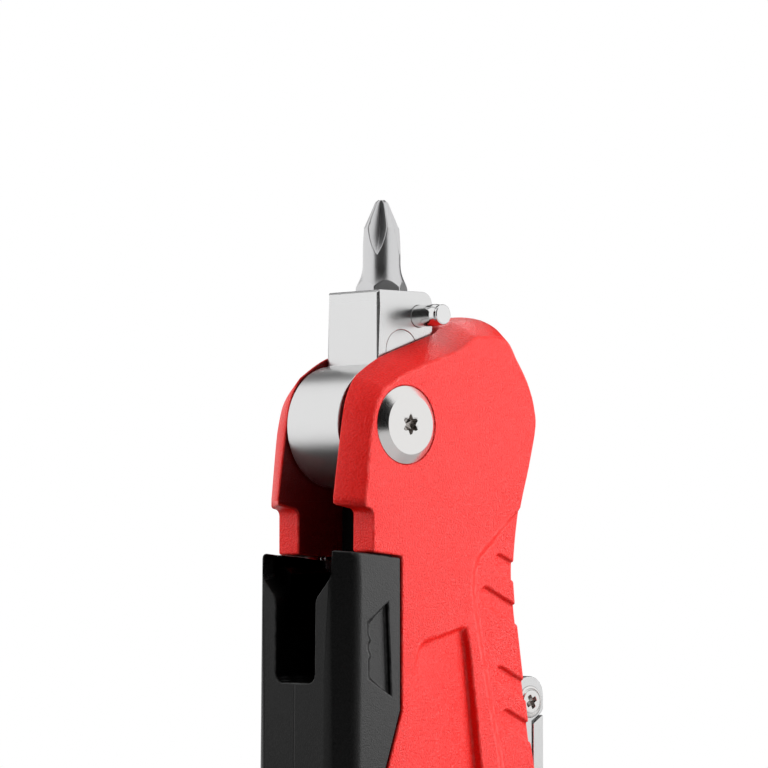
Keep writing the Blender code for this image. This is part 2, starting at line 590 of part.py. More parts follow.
SPARE_X = (6.05, 6.95, -6.05, -6.95)
SPARE_BACK_Y = 14.6
SPARE_MID_Z = 51.3
for number, x in enumerate(SPARE_X, 1):
    shape = blade_outline(SPARE_BACK_Y, SPARE_MID_Z)
    spare = plate(f"spare_blade_{number}", shape, x - BLADE_THICK / 2, x + BLADE_THICK / 2)
    sharpen(spare, SPARE_BACK_Y, x)

blade_axis = axis_empty("blade_axis", *BLADE_PIVOT)
blade = plate("utility_blade", blade_outline(BLADE_BACK_Y, BLADE_MID_Z), -BLADE_THICK / 2, BLADE_THICK / 2)
sharpen(blade, BLADE_BACK_Y, 0)

# Blade carrier: a far plate, a spine and a tang in one piece, closed by a cover plate
FRONT_EDGE = [(6.3, 23.0), (13.5, 38.0), (19.0, 50.0), (23.9, 60.5)]
LOBE = arc((27.0, 62.2), 2.7, 165, 0, 8)
carrier_outline = arc((26.2, 64.6), 2.4, 165, 15, 7) + [(CARRIER_BACK_Y, 61.0)]
carrier_outline += spline([(CARRIER_BACK_Y, 38.0), (28.7, 31.0), (25.6, 24.0), (22.9, 17.0)], 3)
carrier_outline += arc(BLADE_PIVOT, TANG_R, 20, -190, 24) + spline(FRONT_EDGE, 2)
carrier = plate("blade_carrier", carrier_outline, -CARRIER_X, CARRIER_X)
COVER_ROOM = [(0, 25.5), (18.0, 25.5), (BUTTON_Y[0], 33.0), (BUTTON_Y[0], 58.1), (32, 60.8), (32, 75),
              (0, 75)]
HALF_POCKET = 0.45
boolean(carrier, plate("cover_room", COVER_ROOM, -HALF_POCKET, 5, CUTTERS))
corners = blade_outline(BLADE_BACK_Y, BLADE_MID_Z)
trapezoid = corners[:3] + corners[-1:]
boolean(carrier, plate("blade_room", grown(trapezoid, GAP), -HALF_POCKET, HALF_POCKET, CUTTERS))
BUTTON_X = 1.5
room_z = (BUTTON_Z[0] - GAP, BUTTON_Z[1] + GAP)
button_room = box("button_room", (-BUTTON_X - GAP, BUTTON_X + GAP), (BUTTON_Y[0] - 1.3, 35), room_z, CUTTERS)
boolean(carrier, button_room)
bore(carrier, "pivot_bore", BLADE_PIVOT, SHAFT_R + GAP, -8, 8)
WASHER_R = 5.2
WASHER_X = (2.35, 2.95)
for side in (1, -1):
    seat = sorted((side * (WASHER_X[0] - GAP), side * 8))
    bore(carrier, f"washer_seat_{side}", BLADE_PIVOT, WASHER_R + 0.4, *seat)
CLAMP_R = 1.0
bore(carrier, "clamp_hole", CLAMP_YZ, CLAMP_R + GAP, -8, 8, sides=16)
finish(carrier, CHROME, 0.2, 1.0)

COVER_BACK_Y = BUTTON_Y[0] - GAP
cover_outline = LOBE + [(29.7, 60.2), (29.3, 59.6), (COVER_BACK_Y, 58.5), (COVER_BACK_Y, 33.2)]
cover_outline += [(17.9, 25.8), (7.9, 25.8)] + spline(FRONT_EDGE[1:], 2)
cover = plate("carrier_cover", cover_outline, HALF_POCKET, CARRIER_X)
boolean(cover, button_room)
bore(cover, "clamp_hole", CLAMP_YZ, CLAMP_R + GAP, -8, 8, sides=16)
finish(cover, CHROME, 0.15, 1.0)
CLAMP_TOP = 3.4
clamp_head = [(0, CLAMP_TOP), (1.4, CLAMP_TOP), (1.8, CLAMP_TOP - 0.35), (1.8, CARRIER_X + 0.1)]
clamp_stem = [(CLAMP_R, CARRIER_X + 0.1), (CLAMP_R, -2.4), (0, -2.4)]
clamp = turned("clamp_screw", clamp_head + clamp_stem, (0, *CLAMP_YZ), sides=28)
boolean(clamp, plate("clamp_cross", cross(CLAMP_YZ, 1.15, 0.28), CLAMP_TOP - 0.5, 5, CUTTERS))
finish(clamp, STEEL, 0.25, 1.0)
carry(blade_axis, carrier, cover, clamp, blade)

button_axis = axis_empty("blade_button_axis", BUTTON_Y[1], sum(BUTTON_Z) / 2)
BUTTON_CORNER_R = 0.7
corner_y = BUTTON_Y[1] - BUTTON_CORNER_R
button_shape = arc((corner_y, BUTTON_Z[1] - BUTTON_CORNER_R), BUTTON_CORNER_R, 0, 90, 3)
button_shape += [(BUTTON_Y[0], BUTTON_Z[1]), (BUTTON_Y[0], BUTTON_Z[0])]
button_shape += arc((corner_y, BUTTON_Z[0] + BUTTON_CORNER_R), BUTTON_CORNER_R, 270, 360, 3)
button = plate("blade_release_button", button_shape, -BUTTON_X, BUTTON_X)
carry(button_axis, finish(button, CHROME, 0.2, 1.0))

for side, label in ((1, "pivot_washer_right"), (-1, "pivot_washer_left")):
    washer = rod(label, BLADE_PIVOT, WASHER_R, *sorted(side * x for x in WASHER_X), sides=32)
    finish(bore(washer, "hole", BLADE_PIVOT, SHAFT_R + GAP, -8, 8), BRONZE, 0.35, 1.0)

# Lock button and its spring
lock_axis = axis_empty("lock_axis", *LOCK_YZ)
LOCK_TOP = 10.7
LOCK_UNDER = 8.6
LOCK_END = -5.0
lock_profile = [(0, LOCK_TOP), (LOCK_HEAD_R - 0.7, LOCK_TOP), (LOCK_HEAD_R, LOCK_TOP - 0.6),
                (LOCK_HEAD_R, LOCK_UNDER), (LOCK_STEM_R, LOCK_UNDER), (LOCK_STEM_R, LOCK_END), (0, LOCK_END)]
lock = finish(turned("lock_button", lock_profile, (0, *LOCK_YZ), sides=32), STEEL, 0.3, 1.0)
carry(lock_axis, lock)


def coil(name, centre, radius, wire, turns, x0, x1, steps):
    """A wound spring along X, as one tube on a helix."""
    curve = bpy.data.curves.new(name, "CURVE")
    curve.dimensions = "3D"
    curve.bevel_depth = wire * MM
    curve.bevel_resolution = 1
    curve.use_fill_caps = True
    path = curve.splines.new("POLY")
    path.points.add(steps)
    for i, point in enumerate(path.points):
        t = i / steps
        a = 2 * math.pi * turns * t
        where = (x0 + (x1 - x0) * t, centre[0] + radius * math.cos(a), centre[1] + radius * math.sin(a))
        point.co = (*(Vector(where) * MM), 1)
    wound = bpy.data.objects.new(name + "_path", curve)
    PARTS.objects.link(wound)
    view = bpy.context.evaluated_depsgraph_get()
    mesh = bpy.data.meshes.new_from_object(wound.evaluated_get(view))
    bpy.data.objects.remove(wound, do_unlink=True)
    return add(name, mesh, PARTS)


finish(coil("lock_spring", LOCK_YZ, 1.7, 0.22, 2.5, -8.6, -7.3, 25), STEEL, 0.3, 1.0)
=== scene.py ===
# %% [markdown]
# # A folding utility knife, dressed for its picture
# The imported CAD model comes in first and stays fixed: it says where each piece
# is and what moves with what.  This lesson gives every piece its rounded edges,
# its fine detail and its finish, and then lights it as in the photograph.

# %% Load the frame
import json
import math

import bmesh
import bpy
import numpy as np
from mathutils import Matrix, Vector


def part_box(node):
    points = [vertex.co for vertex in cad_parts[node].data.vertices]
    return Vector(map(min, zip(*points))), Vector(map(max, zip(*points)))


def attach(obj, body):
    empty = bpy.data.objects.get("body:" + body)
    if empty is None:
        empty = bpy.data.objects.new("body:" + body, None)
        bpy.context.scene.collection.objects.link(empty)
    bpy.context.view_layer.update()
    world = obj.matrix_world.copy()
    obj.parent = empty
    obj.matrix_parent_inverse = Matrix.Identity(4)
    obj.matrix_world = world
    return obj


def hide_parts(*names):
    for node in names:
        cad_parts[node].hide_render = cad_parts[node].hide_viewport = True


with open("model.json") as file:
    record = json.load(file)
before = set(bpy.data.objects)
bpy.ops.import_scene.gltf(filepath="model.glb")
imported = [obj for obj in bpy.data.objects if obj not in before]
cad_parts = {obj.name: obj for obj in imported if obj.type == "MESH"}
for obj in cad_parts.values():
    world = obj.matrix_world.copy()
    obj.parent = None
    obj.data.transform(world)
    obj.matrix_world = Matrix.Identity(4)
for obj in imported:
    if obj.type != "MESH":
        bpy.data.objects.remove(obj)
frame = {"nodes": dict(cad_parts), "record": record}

MM = 0.001
NODES = frame["nodes"]
BODY_OF = {node: body for body, group in frame["record"]["behaviour"]["bodies"].items() for node in group}
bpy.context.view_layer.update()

# %% [markdown]
# ## The camera
# The photograph was taken with a long lens from a little below the driver's
# hinge, about 47 degrees round from the front, so that front and right side show
# about equally.  A long lens far away keeps upright edges nearly parallel, and
# so the lens length is worked out from the photograph's scale.

# %% Camera
AIM = Vector((0.0006, 0.0006, 0.1058))
CAMERA_AZIMUTH = 47.2
AZIMUTH, ELEVATION = math.radians(CAMERA_AZIMUTH), math.radians(-2.64)
DISTANCE = 0.532
BACK = Vector((math.sin(AZIMUTH) * math.cos(ELEVATION), -math.cos(AZIMUTH) * math.cos(ELEVATION),
               math.sin(ELEVATION)))
camera = bpy.data.objects.new("camera", bpy.data.cameras.new("camera"))
camera.data.lens = 179.8
camera.data.sensor_width = 36.0
camera.data.clip_start = 0.01
camera.location = AIM + BACK * DISTANCE
camera.rotation_euler = (-BACK).to_track_quat("-Z", "Y").to_euler()
bpy.context.scene.collection.objects.link(camera)
bpy.context.scene.camera = camera
print("camera at", [round(c, 3) for c in camera.location])

# %% [markdown]
# ## Background and light
# The picture has a pure white background and soft light from large panels.  A
# white world seen by the camera and by mirror-like surfaces gives that background
# without adding light, because the light that falls on the knife comes from a
# weaker copy of the same world and from five soft lamps.  Three of them are left
# out of reflections, where the white world already stands for them.  The other two
# put a haze on the coat and the plastic, and are linked to those pieces at the end.

# %% World
WORLD_LIGHT = 0.14
world = bpy.data.worlds.new("white_studio")
bpy.context.scene.world = world
world.use_nodes = True
tree = world.node_tree
tree.nodes.clear()
path = tree.nodes.new("ShaderNodeLightPath")
seen = tree.nodes.new("ShaderNodeMath")
seen.operation = "MAXIMUM"
seen_too = tree.nodes.new("ShaderNodeMath")
seen_too.operation = "MAXIMUM"
strength = tree.nodes.new("ShaderNodeMapRange")
strength.inputs["To Min"].default_value = WORLD_LIGHT
strength.inputs["To Max"].default_value = 1.0
sky = tree.nodes.new("ShaderNodeBackground")
sky.inputs["Color"].default_value = (1, 1, 1, 1)
out = tree.nodes.new("ShaderNodeOutputWorld")
tree.links.new(path.outputs["Is Camera Ray"], seen.inputs[0])
tree.links.new(path.outputs["Is Glossy Ray"], seen.inputs[1])
tree.links.new(seen.outputs[0], seen_too.inputs[0])
tree.links.new(path.outputs["Is Transmission Ray"], seen_too.inputs[1])
tree.links.new(seen_too.outputs[0], strength.inputs["Value"])
tree.links.new(strength.outputs["Result"], sky.inputs["Strength"])
tree.links.new(sky.outputs[0], out.inputs["Surface"])
bpy.context.scene.view_settings.view_transform = "Standard"
print("white world, of which", WORLD_LIGHT, "falls on the knife")


# %% Lamps
KNIFE_MIDDLE = Vector((0, 0, 0.09))


def soft_panel(name, place, size, watts, tall=None, mirrored=False):
    """A square or tall lamp at place that faces the middle of the knife."""
    lamp = bpy.data.lights.new(name, "AREA")
    lamp.shape = "RECTANGLE"
    lamp.size = size
    lamp.size_y = tall or size
    lamp.energy = watts
    panel = bpy.data.objects.new(name, lamp)
    panel.location = place
    facing = KNIFE_MIDDLE - Vector(place)
    panel.rotation_euler = facing.to_track_quat("-Z", "Y").to_euler()
    panel.visible_camera = False
    panel.visible_glossy = mirrored
    bpy.context.scene.collection.objects.link(panel)
    return panel


soft_panel("right_panel", (0.68, 0.18, 0.20), size=0.6, watts=3.2)
soft_panel("front_panel", (-0.05, -0.40, 0.65), size=0.5, watts=2.2)
soft_panel("left_panel", (-0.60, -0.60, 0.20), size=0.7, watts=5.2)
haze_panels = [soft_panel("haze_panel", (0.50, 0.47, 0.16), size=0.5, watts=4.3, mirrored=True),
               soft_panel("streak_panel", (-0.336, 0.336, 0.657), size=0.24, tall=0.36, watts=1.5, mirrored=True)]
print("three soft lamps, and", len(haze_panels), "for the haze")

# %% [markdown]
# ## What the metal mirrors
# Bright metal shows what stands around it.  In a white room it would look like
# paper, so photographers hang dark cards out of view.  Here one dark card stands
# behind the camera, where it also keeps off the world's light, and three stand
# behind the knife, where only mirror rays meet them.  They give the bit, the hub,
# the screw's slope and the black door's slanting edge their dark parts.  The floor
# is a pale disc with a dark patch, and only mirror rays meet it too.


# %% Plain finishes
MATT_ROUGHNESS = 0.9


def new_finish(name, colour, roughness, metallic=0.0, specular=0.5):
    """A Principled material with constant values, ready for relief and tone."""
    material = bpy.data.materials.new(name)
    material.use_nodes = True
    shader = material.node_tree.nodes["Principled BSDF"]
    shader.inputs["Base Color"].default_value = (*colour, 1)
    shader.inputs["Roughness"].default_value = roughness
    shader.inputs["Metallic"].default_value = metallic
    shader.inputs["Specular IOR Level"].default_value = specular
    return material


def matt(name, colour):
    """A plain dull material with no gloss."""
    return new_finish(name, colour, MATT_ROUGHNESS, specular=0.0)


# %% Dark cards
CARD_RADIUS, CARD_BLACK = 0.9, (0.01, 0.01, 0.01)


def dark_card(name, azimuths, heights, blocks_light=False, steps=24):
    """A piece of a cylinder wall round the knife: azimuth and height run over a grid."""
    turn, high = np.meshgrid(np.radians(np.linspace(*azimuths, steps)), np.linspace(*heights, 2))
    points = np.stack((CARD_RADIUS * np.sin(turn), -CARD_RADIUS * np.cos(turn), high), -1).reshape(-1, 3)
    i = np.arange(steps - 1)
    card = bpy.data.meshes.new(name)
    card.from_pydata(points.tolist(), [], np.stack((i, i + 1, i + 1 + steps, i + steps), 1).tolist())
    card.materials.append(matt(name, CARD_BLACK))
    piece = bpy.data.objects.new(name, card)
    bpy.context.scene.collection.objects.link(piece)
    piece.visible_camera = False
    piece.visible_diffuse = piece.visible_shadow = blocks_light


dark_card("camera_card", azimuths=(CAMERA_AZIMUTH - 44, CAMERA_AZIMUTH + 36), heights=(-0.5, 1.6), blocks_light=True)
dark_card("back_card", azimuths=(186, 238), heights=(-0.4, 0.7))
dark_card("upper_card", azimuths=(240, 268), heights=(0.42, 1.1))
dark_card("sky_card", azimuths=(184, 216), heights=(0.5, 2.2))
print("four dark cards,", CARD_RADIUS, "m away")

# %% Floor
DISC_POINTS = 96
FLOOR_R, FLOOR_Z, FLOOR_GREY = 0.55, -0.0002, (0.93, 0.93, 0.93)
PATCH_R, PATCH_Z, PATCH_PLACE = 0.10, -0.0001, (-0.13, -0.07)


def mirrored_disc(name, radius, place, height, material):
    """A level disc that only mirror rays meet: its points lie at even angles round a place."""
    turn = np.linspace(0, 2 * math.pi, DISC_POINTS, endpoint=False)
    points = np.stack((place[0] + radius * np.cos(turn), place[1] + radius * np.sin(turn), 0 * turn + height), -1)
    mesh = bpy.data.meshes.new(name)
    mesh.from_pydata(points.tolist(), [], [range(DISC_POINTS)])
    mesh.materials.append(material)
    disc = bpy.data.objects.new(name, mesh)
    bpy.context.scene.collection.objects.link(disc)
    disc.visible_camera = disc.visible_diffuse = disc.visible_shadow = False
    return disc


floor = mirrored_disc("floor", FLOOR_R, (0, 0), FLOOR_Z, matt("pale_floor", FLOOR_GREY))
floor_card = mirrored_disc("floor_card", PATCH_R, PATCH_PLACE, PATCH_Z, matt("floor_card", CARD_BLACK))
print("a floor", 2 * FLOOR_R, "m across, with a dark patch")

# %% [markdown]
# ## Patterns that several finishes share
# Powder coat, moulded plastic, brushed and turned metal all live from fine relief.
# Each relief is a node group, built once and placed in each material with its own
# values.  Grain and brushing read the piece's own coordinates, so they stay on the
# piece when a joint moves.  Lathe lines read an attribute that the turned pieces
# carry, because rings have to follow the turning axis.


# %% Group helpers
def new_group(name, inputs, outputs):
    """An empty node group with named float inputs and outputs, and its two end nodes."""
    tree = bpy.data.node_groups.new(name, "ShaderNodeTree")
    for label, value in inputs.items():
        tree.interface.new_socket(label, in_out="INPUT", socket_type="NodeSocketFloat").default_value = value
    for label in outputs:
        tree.interface.new_socket(label, in_out="OUTPUT", socket_type="NodeSocketFloat")
    return tree, tree.nodes.new("NodeGroupInput"), tree.nodes.new("NodeGroupOutput")


def add_node(tree, kind, **values):
    """A node whose sockets and settings are given by name; a socket name may use _ for a blank."""
    node = tree.nodes.new("ShaderNode" + kind)
    for key, value in values.items():
        socket = node.inputs.get(key.replace("_", " ")) if key[0].isupper() else None
        if socket is None:
            setattr(node, key, value)
        else:
            socket.default_value = value
    return node


# %% Grain and lines
def fine_grain():
    """Noise of a given number of bumps per metre, as a height and as sparse specks."""
    tree, start, end = new_group("fine_grain", {"Scale": 4000.0}, ("Height", "Specks"))
    place = add_node(tree, "TexCoord")
    noise = add_node(tree, "TexNoise", Detail=2.0, Roughness=0.6)
    specks = add_node(tree, "MapRange", From_Min=0.38, From_Max=0.68)
    tree.links.new(place.outputs["Object"], noise.inputs["Vector"])
    tree.links.new(start.outputs["Scale"], noise.inputs["Scale"])
    tree.links.new(noise.outputs["Fac"], specks.inputs["Value"])
    tree.links.new(noise.outputs["Fac"], end.inputs["Height"])
    tree.links.new(specks.outputs["Result"], end.inputs["Specks"])
    return tree


def brush_lines():
    """Noise squeezed along one axis and stretched along the others, so that it makes lines."""
    tree, start, end = new_group("brush_lines", {"Across X": 9000.0, "Across Y": 60.0, "Across Z": 60.0}, ("Height",))
    place = add_node(tree, "TexCoord")
    squeeze = add_node(tree, "Mapping")
    joined = add_node(tree, "CombineXYZ")
    noise = add_node(tree, "TexNoise", Scale=1.0, Detail=3.0)
    for axis in "XYZ":
        tree.links.new(start.outputs["Across " + axis], joined.inputs[axis])
    tree.links.new(place.outputs["Object"], squeeze.inputs["Vector"])
    tree.links.new(joined.outputs[0], squeeze.inputs["Scale"])
    tree.links.new(squeeze.outputs[0], noise.inputs["Vector"])
    tree.links.new(noise.outputs["Fac"], end.inputs["Height"])
    return tree


def lathe_lines():
    """Noise along the attribute lathe, which is the way along a turned profile in mm."""
    tree, start, end = new_group("lathe_lines", {"Scale": 14.0}, ("Height",))
    along = add_node(tree, "Attribute", attribute_name="lathe")
    noise = add_node(tree, "TexNoise", noise_dimensions="1D", Detail=2.0)
    tree.links.new(along.outputs["Fac"], noise.inputs["W"])
    tree.links.new(start.outputs["Scale"], noise.inputs["Scale"])
    tree.links.new(noise.outputs["Fac"], end.inputs["Height"])
    return tree


GRAIN, BRUSHING, LATHE = fine_grain(), brush_lines(), lathe_lines()
print("relief groups:", GRAIN.name, BRUSHING.name, LATHE.name)


# %% Rubbed edges and local relief
def rubbed_and_highlit_edges():
    """The attribute edge, broken up by noise: 1 where a rounded edge is lightened as rubbed wear and as a painted
    highlight.
    """
    tree, start, end = new_group("rubbed_and_highlit_edges", {"Amount": 0.5}, ("Mask",))
    edge = add_node(tree, "Attribute", attribute_name="edge")
    place = add_node(tree, "TexCoord")
    noise = add_node(tree, "TexNoise", Scale=700.0, Detail=4.0)
    patch = add_node(tree, "MapRange", From_Min=0.35, From_Max=0.65)
    both = add_node(tree, "Math", operation="MULTIPLY")
    part = add_node(tree, "Math", operation="MULTIPLY")
    tree.links.new(place.outputs["Object"], noise.inputs["Vector"])
    tree.links.new(noise.outputs["Fac"], patch.inputs["Value"])
    tree.links.new(patch.outputs["Result"], both.inputs[0])
    tree.links.new(edge.outputs["Fac"], both.inputs[1])
    tree.links.new(both.outputs[0], part.inputs[0])
    tree.links.new(start.outputs["Amount"], part.inputs[1])
    tree.links.new(part.outputs[0], end.inputs["Mask"])
    return tree


def parting_line():
    """1 on a hair line down the middle of the door, where the two halves of its mould met."""
    tree, start, end = new_group("parting_line", {"Half width": 0.00014, "Top": 0.0645}, ("Groove",))
    place = add_node(tree, "TexCoord")
    apart = add_node(tree, "SeparateXYZ")
    aside = add_node(tree, "Math", operation="ABSOLUTE")
    near = add_node(tree, "MapRange", To_Min=1.0, To_Max=0.0)
    below = add_node(tree, "Math", operation="LESS_THAN")
    both = add_node(tree, "Math", operation="MULTIPLY")
    tree.links.new(place.outputs["Object"], apart.inputs[0])
    tree.links.new(apart.outputs["X"], aside.inputs[0])
    tree.links.new(aside.outputs[0], near.inputs["Value"])
    tree.links.new(start.outputs["Half width"], near.inputs["From Max"])
    tree.links.new(apart.outputs["Z"], below.inputs[0])
    tree.links.new(start.outputs["Top"], below.inputs[1])
    tree.links.new(near.outputs["Result"], both.inputs[0])
    tree.links.new(below.outputs[0], both.inputs[1])
    tree.links.new(both.outputs[0], end.inputs["Groove"])
    return tree


def rounded_slope():
    """The cube of the way down the handle's sloping edge, from its broad side to its rim, on the head."""
    tree, start, end = new_group("rounded_slope", {"Side": 0.00975, "Rim": 0.00525, "Foot": 0.0895}, ("Height",))
    place = add_node(tree, "TexCoord")
    apart = add_node(tree, "SeparateXYZ")
    aside = add_node(tree, "Math", operation="ABSOLUTE")
    way = add_node(tree, "MapRange")
    cube = add_node(tree, "Math", operation="POWER")
    cube.inputs[1].default_value = 3.0
    above = add_node(tree, "Math", operation="GREATER_THAN")
    both = add_node(tree, "Math", operation="MULTIPLY")
    tree.links.new(place.outputs["Object"], apart.inputs[0])
    tree.links.new(apart.outputs["X"], aside.inputs[0])
    tree.links.new(aside.outputs[0], way.inputs["Value"])
    tree.links.new(start.outputs["Side"], way.inputs["From Min"])
    tree.links.new(start.outputs["Rim"], way.inputs["From Max"])
    tree.links.new(way.outputs["Result"], cube.inputs[0])
    tree.links.new(apart.outputs["Z"], above.inputs[0])
    tree.links.new(start.outputs["Foot"], above.inputs[1])
    tree.links.new(cube.outputs[0], both.inputs[0])
    tree.links.new(above.outputs[0], both.inputs[1])
    tree.links.new(both.outputs[0], end.inputs["Height"])
    return tree


RUBBED_AND_HIGHLIT, PARTING, SLOPE = rubbed_and_highlit_edges(), parting_line(), rounded_slope()
print("mask groups:", RUBBED_AND_HIGHLIT.name, PARTING.name, SLOPE.name)

# %% [markdown]
# ## The finishes
# The handle is powder coated: a strong red under a thin clear skin that mirrors the
# white room a little, broken by fine bumps.  The door is black moulded plastic.  The
# driver's holder and the blade carrier are satin plated, the screws turned, and the
# bit and blades ground.  Each finish is a Principled shader, and the groups above give
# it its relief and small changes of tone.  Attributes mark where painted shade darkens
# the handle's inner walls, the door's slot and the star recesses, where rounded edges
# are lightened as rubbed wear and as a painted highlight, and where the hub is brushed.


# %% Material helpers
def use_group(material, group, **values):
    """Place a node group in a material and set its inputs."""
    node = material.node_tree.nodes.new("ShaderNodeGroup")
    node.node_tree = group
    for label, value in values.items():
        node.inputs[label.replace("_", " ")].default_value = value
    return node


def relief(material, source, depth, strength=1.0):
    """Add a bump of a given depth in mm before the relief that the shader already has."""
    tree = material.node_tree
    shader = tree.nodes["Principled BSDF"]
    bump = add_node(tree, "Bump", Strength=strength, Distance=depth * MM)
    tree.links.new(source, bump.inputs["Height"])
    for link in shader.inputs["Normal"].links:
        tree.links.new(link.from_socket, bump.inputs["Normal"])
    tree.links.new(bump.outputs["Normal"], shader.inputs["Normal"])


def tint(material, mask, colour):
    """Let a mask blend the base colour to another colour."""
    tree = material.node_tree
    base = tree.nodes["Principled BSDF"].inputs["Base Color"]
    blend = tree.nodes.new("ShaderNodeMix")
    blend.data_type = "RGBA"
    first, second = (s for s in blend.inputs if s.type == "RGBA")
    first.default_value = base.default_value
    second.default_value = (*colour, 1)
    for link in base.links:
        tree.links.new(link.from_socket, first)
    tree.links.new(mask, blend.inputs["Factor"])
    tree.links.new(next(s for s in blend.outputs if s.type == "RGBA"), base)


def marked(material, attribute):
    """The value that a piece's mesh carries at each point under an attribute's name."""
    return add_node(material.node_tree, "Attribute", attribute_name=attribute).outputs["Fac"]


def vary(material, label, source):
    """Let a value that changes over the piece set one of the shader's inputs."""
    tree = material.node_tree
    tree.links.new(source, tree.nodes["Principled BSDF"].inputs[label])


# %% Coat and plastic
red_coat = new_finish("red_powder_coat", (0.78, 0.007, 0.004), roughness=0.33, specular=0.32)
coat_grain = use_group(red_coat, GRAIN, Scale=3800.0)
relief(red_coat, use_group(red_coat, SLOPE).outputs["Height"], -0.85)
relief(red_coat, coat_grain.outputs["Height"], 0.17)
tint(red_coat, coat_grain.outputs["Specks"], (0.93, 0.018, 0.014))
# Rubbed wear and painted highlight: the rounded edges are lightened to a paler red.
tint(red_coat, use_group(red_coat, RUBBED_AND_HIGHLIT, Amount=0.5).outputs["Mask"], (0.92, 0.10, 0.09))
# Painted shade: the handle's inner walls, marked inside, are darkened to a deep red.
tint(red_coat, marked(red_coat, "inside"), (0.20, 0.003, 0.003))

black_plastic = new_finish("black_moulded_plastic", (0.0025, 0.0025, 0.0025), roughness=0.33, specular=0.165)
mould_grain = use_group(black_plastic, GRAIN, Scale=5200.0)
relief(black_plastic, mould_grain.outputs["Height"], 0.035)
tint(black_plastic, mould_grain.outputs["Specks"], (0.008, 0.008, 0.008))
# Rubbed wear and painted highlight: the rounded edges are lightened to a grey.
tint(black_plastic, use_group(black_plastic, RUBBED_AND_HIGHLIT, Amount=0.8).outputs["Mask"], (0.05, 0.05, 0.05))
# Painted shade: the door's inside is painted black and made a black metal, so that it stays dark.
within = marked(black_plastic, "inside")
tint(black_plastic, within, (0, 0, 0))
vary(black_plastic, "Metallic", within)
relief(black_plastic, use_group(black_plastic, PARTING).outputs["Groove"], -0.05)
print("finishes:", red_coat.name, black_plastic.name)

# %% Plated metals
PLATE_ROUGHNESS, HUB_ROUGHNESS = 0.27, 0.31
satin_plate = new_finish("satin_plate", (0.74, 0.74, 0.74), PLATE_ROUGHNESS, metallic=1.0)
relief(satin_plate, use_group(satin_plate, BRUSHING).outputs["Height"], 0.006)
# Rubbed wear and painted highlight: the rounded edges are brightened.
tint(satin_plate, use_group(satin_plate, RUBBED_AND_HIGHLIT, Amount=0.3).outputs["Mask"], (0.82, 0.82, 0.82))
duller = add_node(satin_plate.node_tree, "MapRange", To_Min=PLATE_ROUGHNESS, To_Max=HUB_ROUGHNESS)
satin_plate.node_tree.links.new(marked(satin_plate, "round"), duller.inputs["Value"])
vary(satin_plate, "Roughness", duller.outputs["Result"])

turned_plate = new_finish("turned_plate", (0.78, 0.77, 0.76), roughness=0.2, metallic=1.0)
relief(turned_plate, use_group(turned_plate, LATHE).outputs["Height"], 0.004)
# Painted shade: the rings inside a star recess, marked deep, are darkened.
tint(turned_plate, marked(turned_plate, "deep"), (0.42, 0.39, 0.37))

polished_plate = new_finish("polished_plate", (0.78, 0.78, 0.78), roughness=0.1, metallic=1.0)
relief(polished_plate, use_group(polished_plate, LATHE, Scale=5.0).outputs["Height"], 0.002)
print("finishes:", satin_plate.name, turned_plate.name, polished_plate.name)

# %% Steel and bronze
ground_steel = new_finish("ground_steel", (0.64, 0.64, 0.645), roughness=0.3, metallic=1.0)
steel_lines = {"Across_X": 1500.0, "Across_Y": 1500.0, "Across_Z": 9000.0}
relief(ground_steel, use_group(ground_steel, BRUSHING, **steel_lines).outputs["Height"], 0.004)

blade_steel = new_finish("blade_steel", (0.62, 0.62, 0.63), roughness=0.25, metallic=1.0)
blade_lines = {"Across_X": 60.0, "Across_Y": 60.0, "Across_Z": 7000.0}
relief(blade_steel, use_group(blade_steel, BRUSHING, **blade_lines).outputs["Height"], 0.004)

bronze = new_finish("bronze", (0.55, 0.42, 0.2), roughness=0.35, metallic=1.0)
relief(bronze, use_group(bronze, GRAIN).outputs["Height"], 0.004)
print("finishes:", ground_steel.name, blade_steel.name, bronze.name)

# %% Finishes on the CAD nodes
FINISH = {"red_coat": red_coat, "black_plastic": black_plastic, "bright_plate": satin_plate,
          "ground_steel": ground_steel, "blade_steel": blade_steel, "bronze": bronze}
SLOT_OF = {part["node"]: part["material_slot"] for part in frame["record"]["subparts"]}
for node, slot in SLOT_OF.items():
    NODES[node].data.materials.clear()
    NODES[node].data.materials.append(FINISH[slot])
print(len(SLOT_OF), "CAD nodes have a finish")

# %% [markdown]
# ## Rounded edges
# Cast, moulded and plated pieces have no knife-sharp corners, and the thin line of
# light along an edge is what makes a render look real.  The CAD solids have sharp
# corners, so each big piece is a merged copy of its solid whose sharp edges are
# rounded over with a few narrow faces.  An attribute marks those faces, so that a
# material can lighten the edges, both as rubbed wear and as a painted highlight.


# %% Mesh helpers
def points_of(mesh):
    """The places of a mesh's points in metres, one row each."""
    place = np.empty(len(mesh.vertices) * 3, np.float32)
    mesh.vertices.foreach_get("co", place)
    return place.reshape(-1, 3)


def mark(mesh, attribute, values):
    """Store a value at each point of a mesh, for a material to read."""
    mesh.attributes.new(attribute, "FLOAT", "POINT").data.foreach_set("value", values.astype(np.float32))


def drop_wires(bm):
    """Delete the edges that no face uses."""
    bmesh.ops.delete(bm, geom=[e for e in bm.edges if e.is_wire], context="EDGES")


def settle_order(bm):
    """Sort the faces by their three lowest point numbers, since a bevel lists them differently in each run."""
    bm.verts.index_update()
    count = len(bm.verts)

    def number(face):
        first, second, third = sorted(v.index for v in face.verts)[:3]
        return (first * count + second) * count + third

    bm.faces.sort(key=number)


# %% Folds
FOLD_SIZE, FOLD_TOP, FOLD_COSINE, FOLD_THIN = 0.5, 95.0, -0.5, 0.001


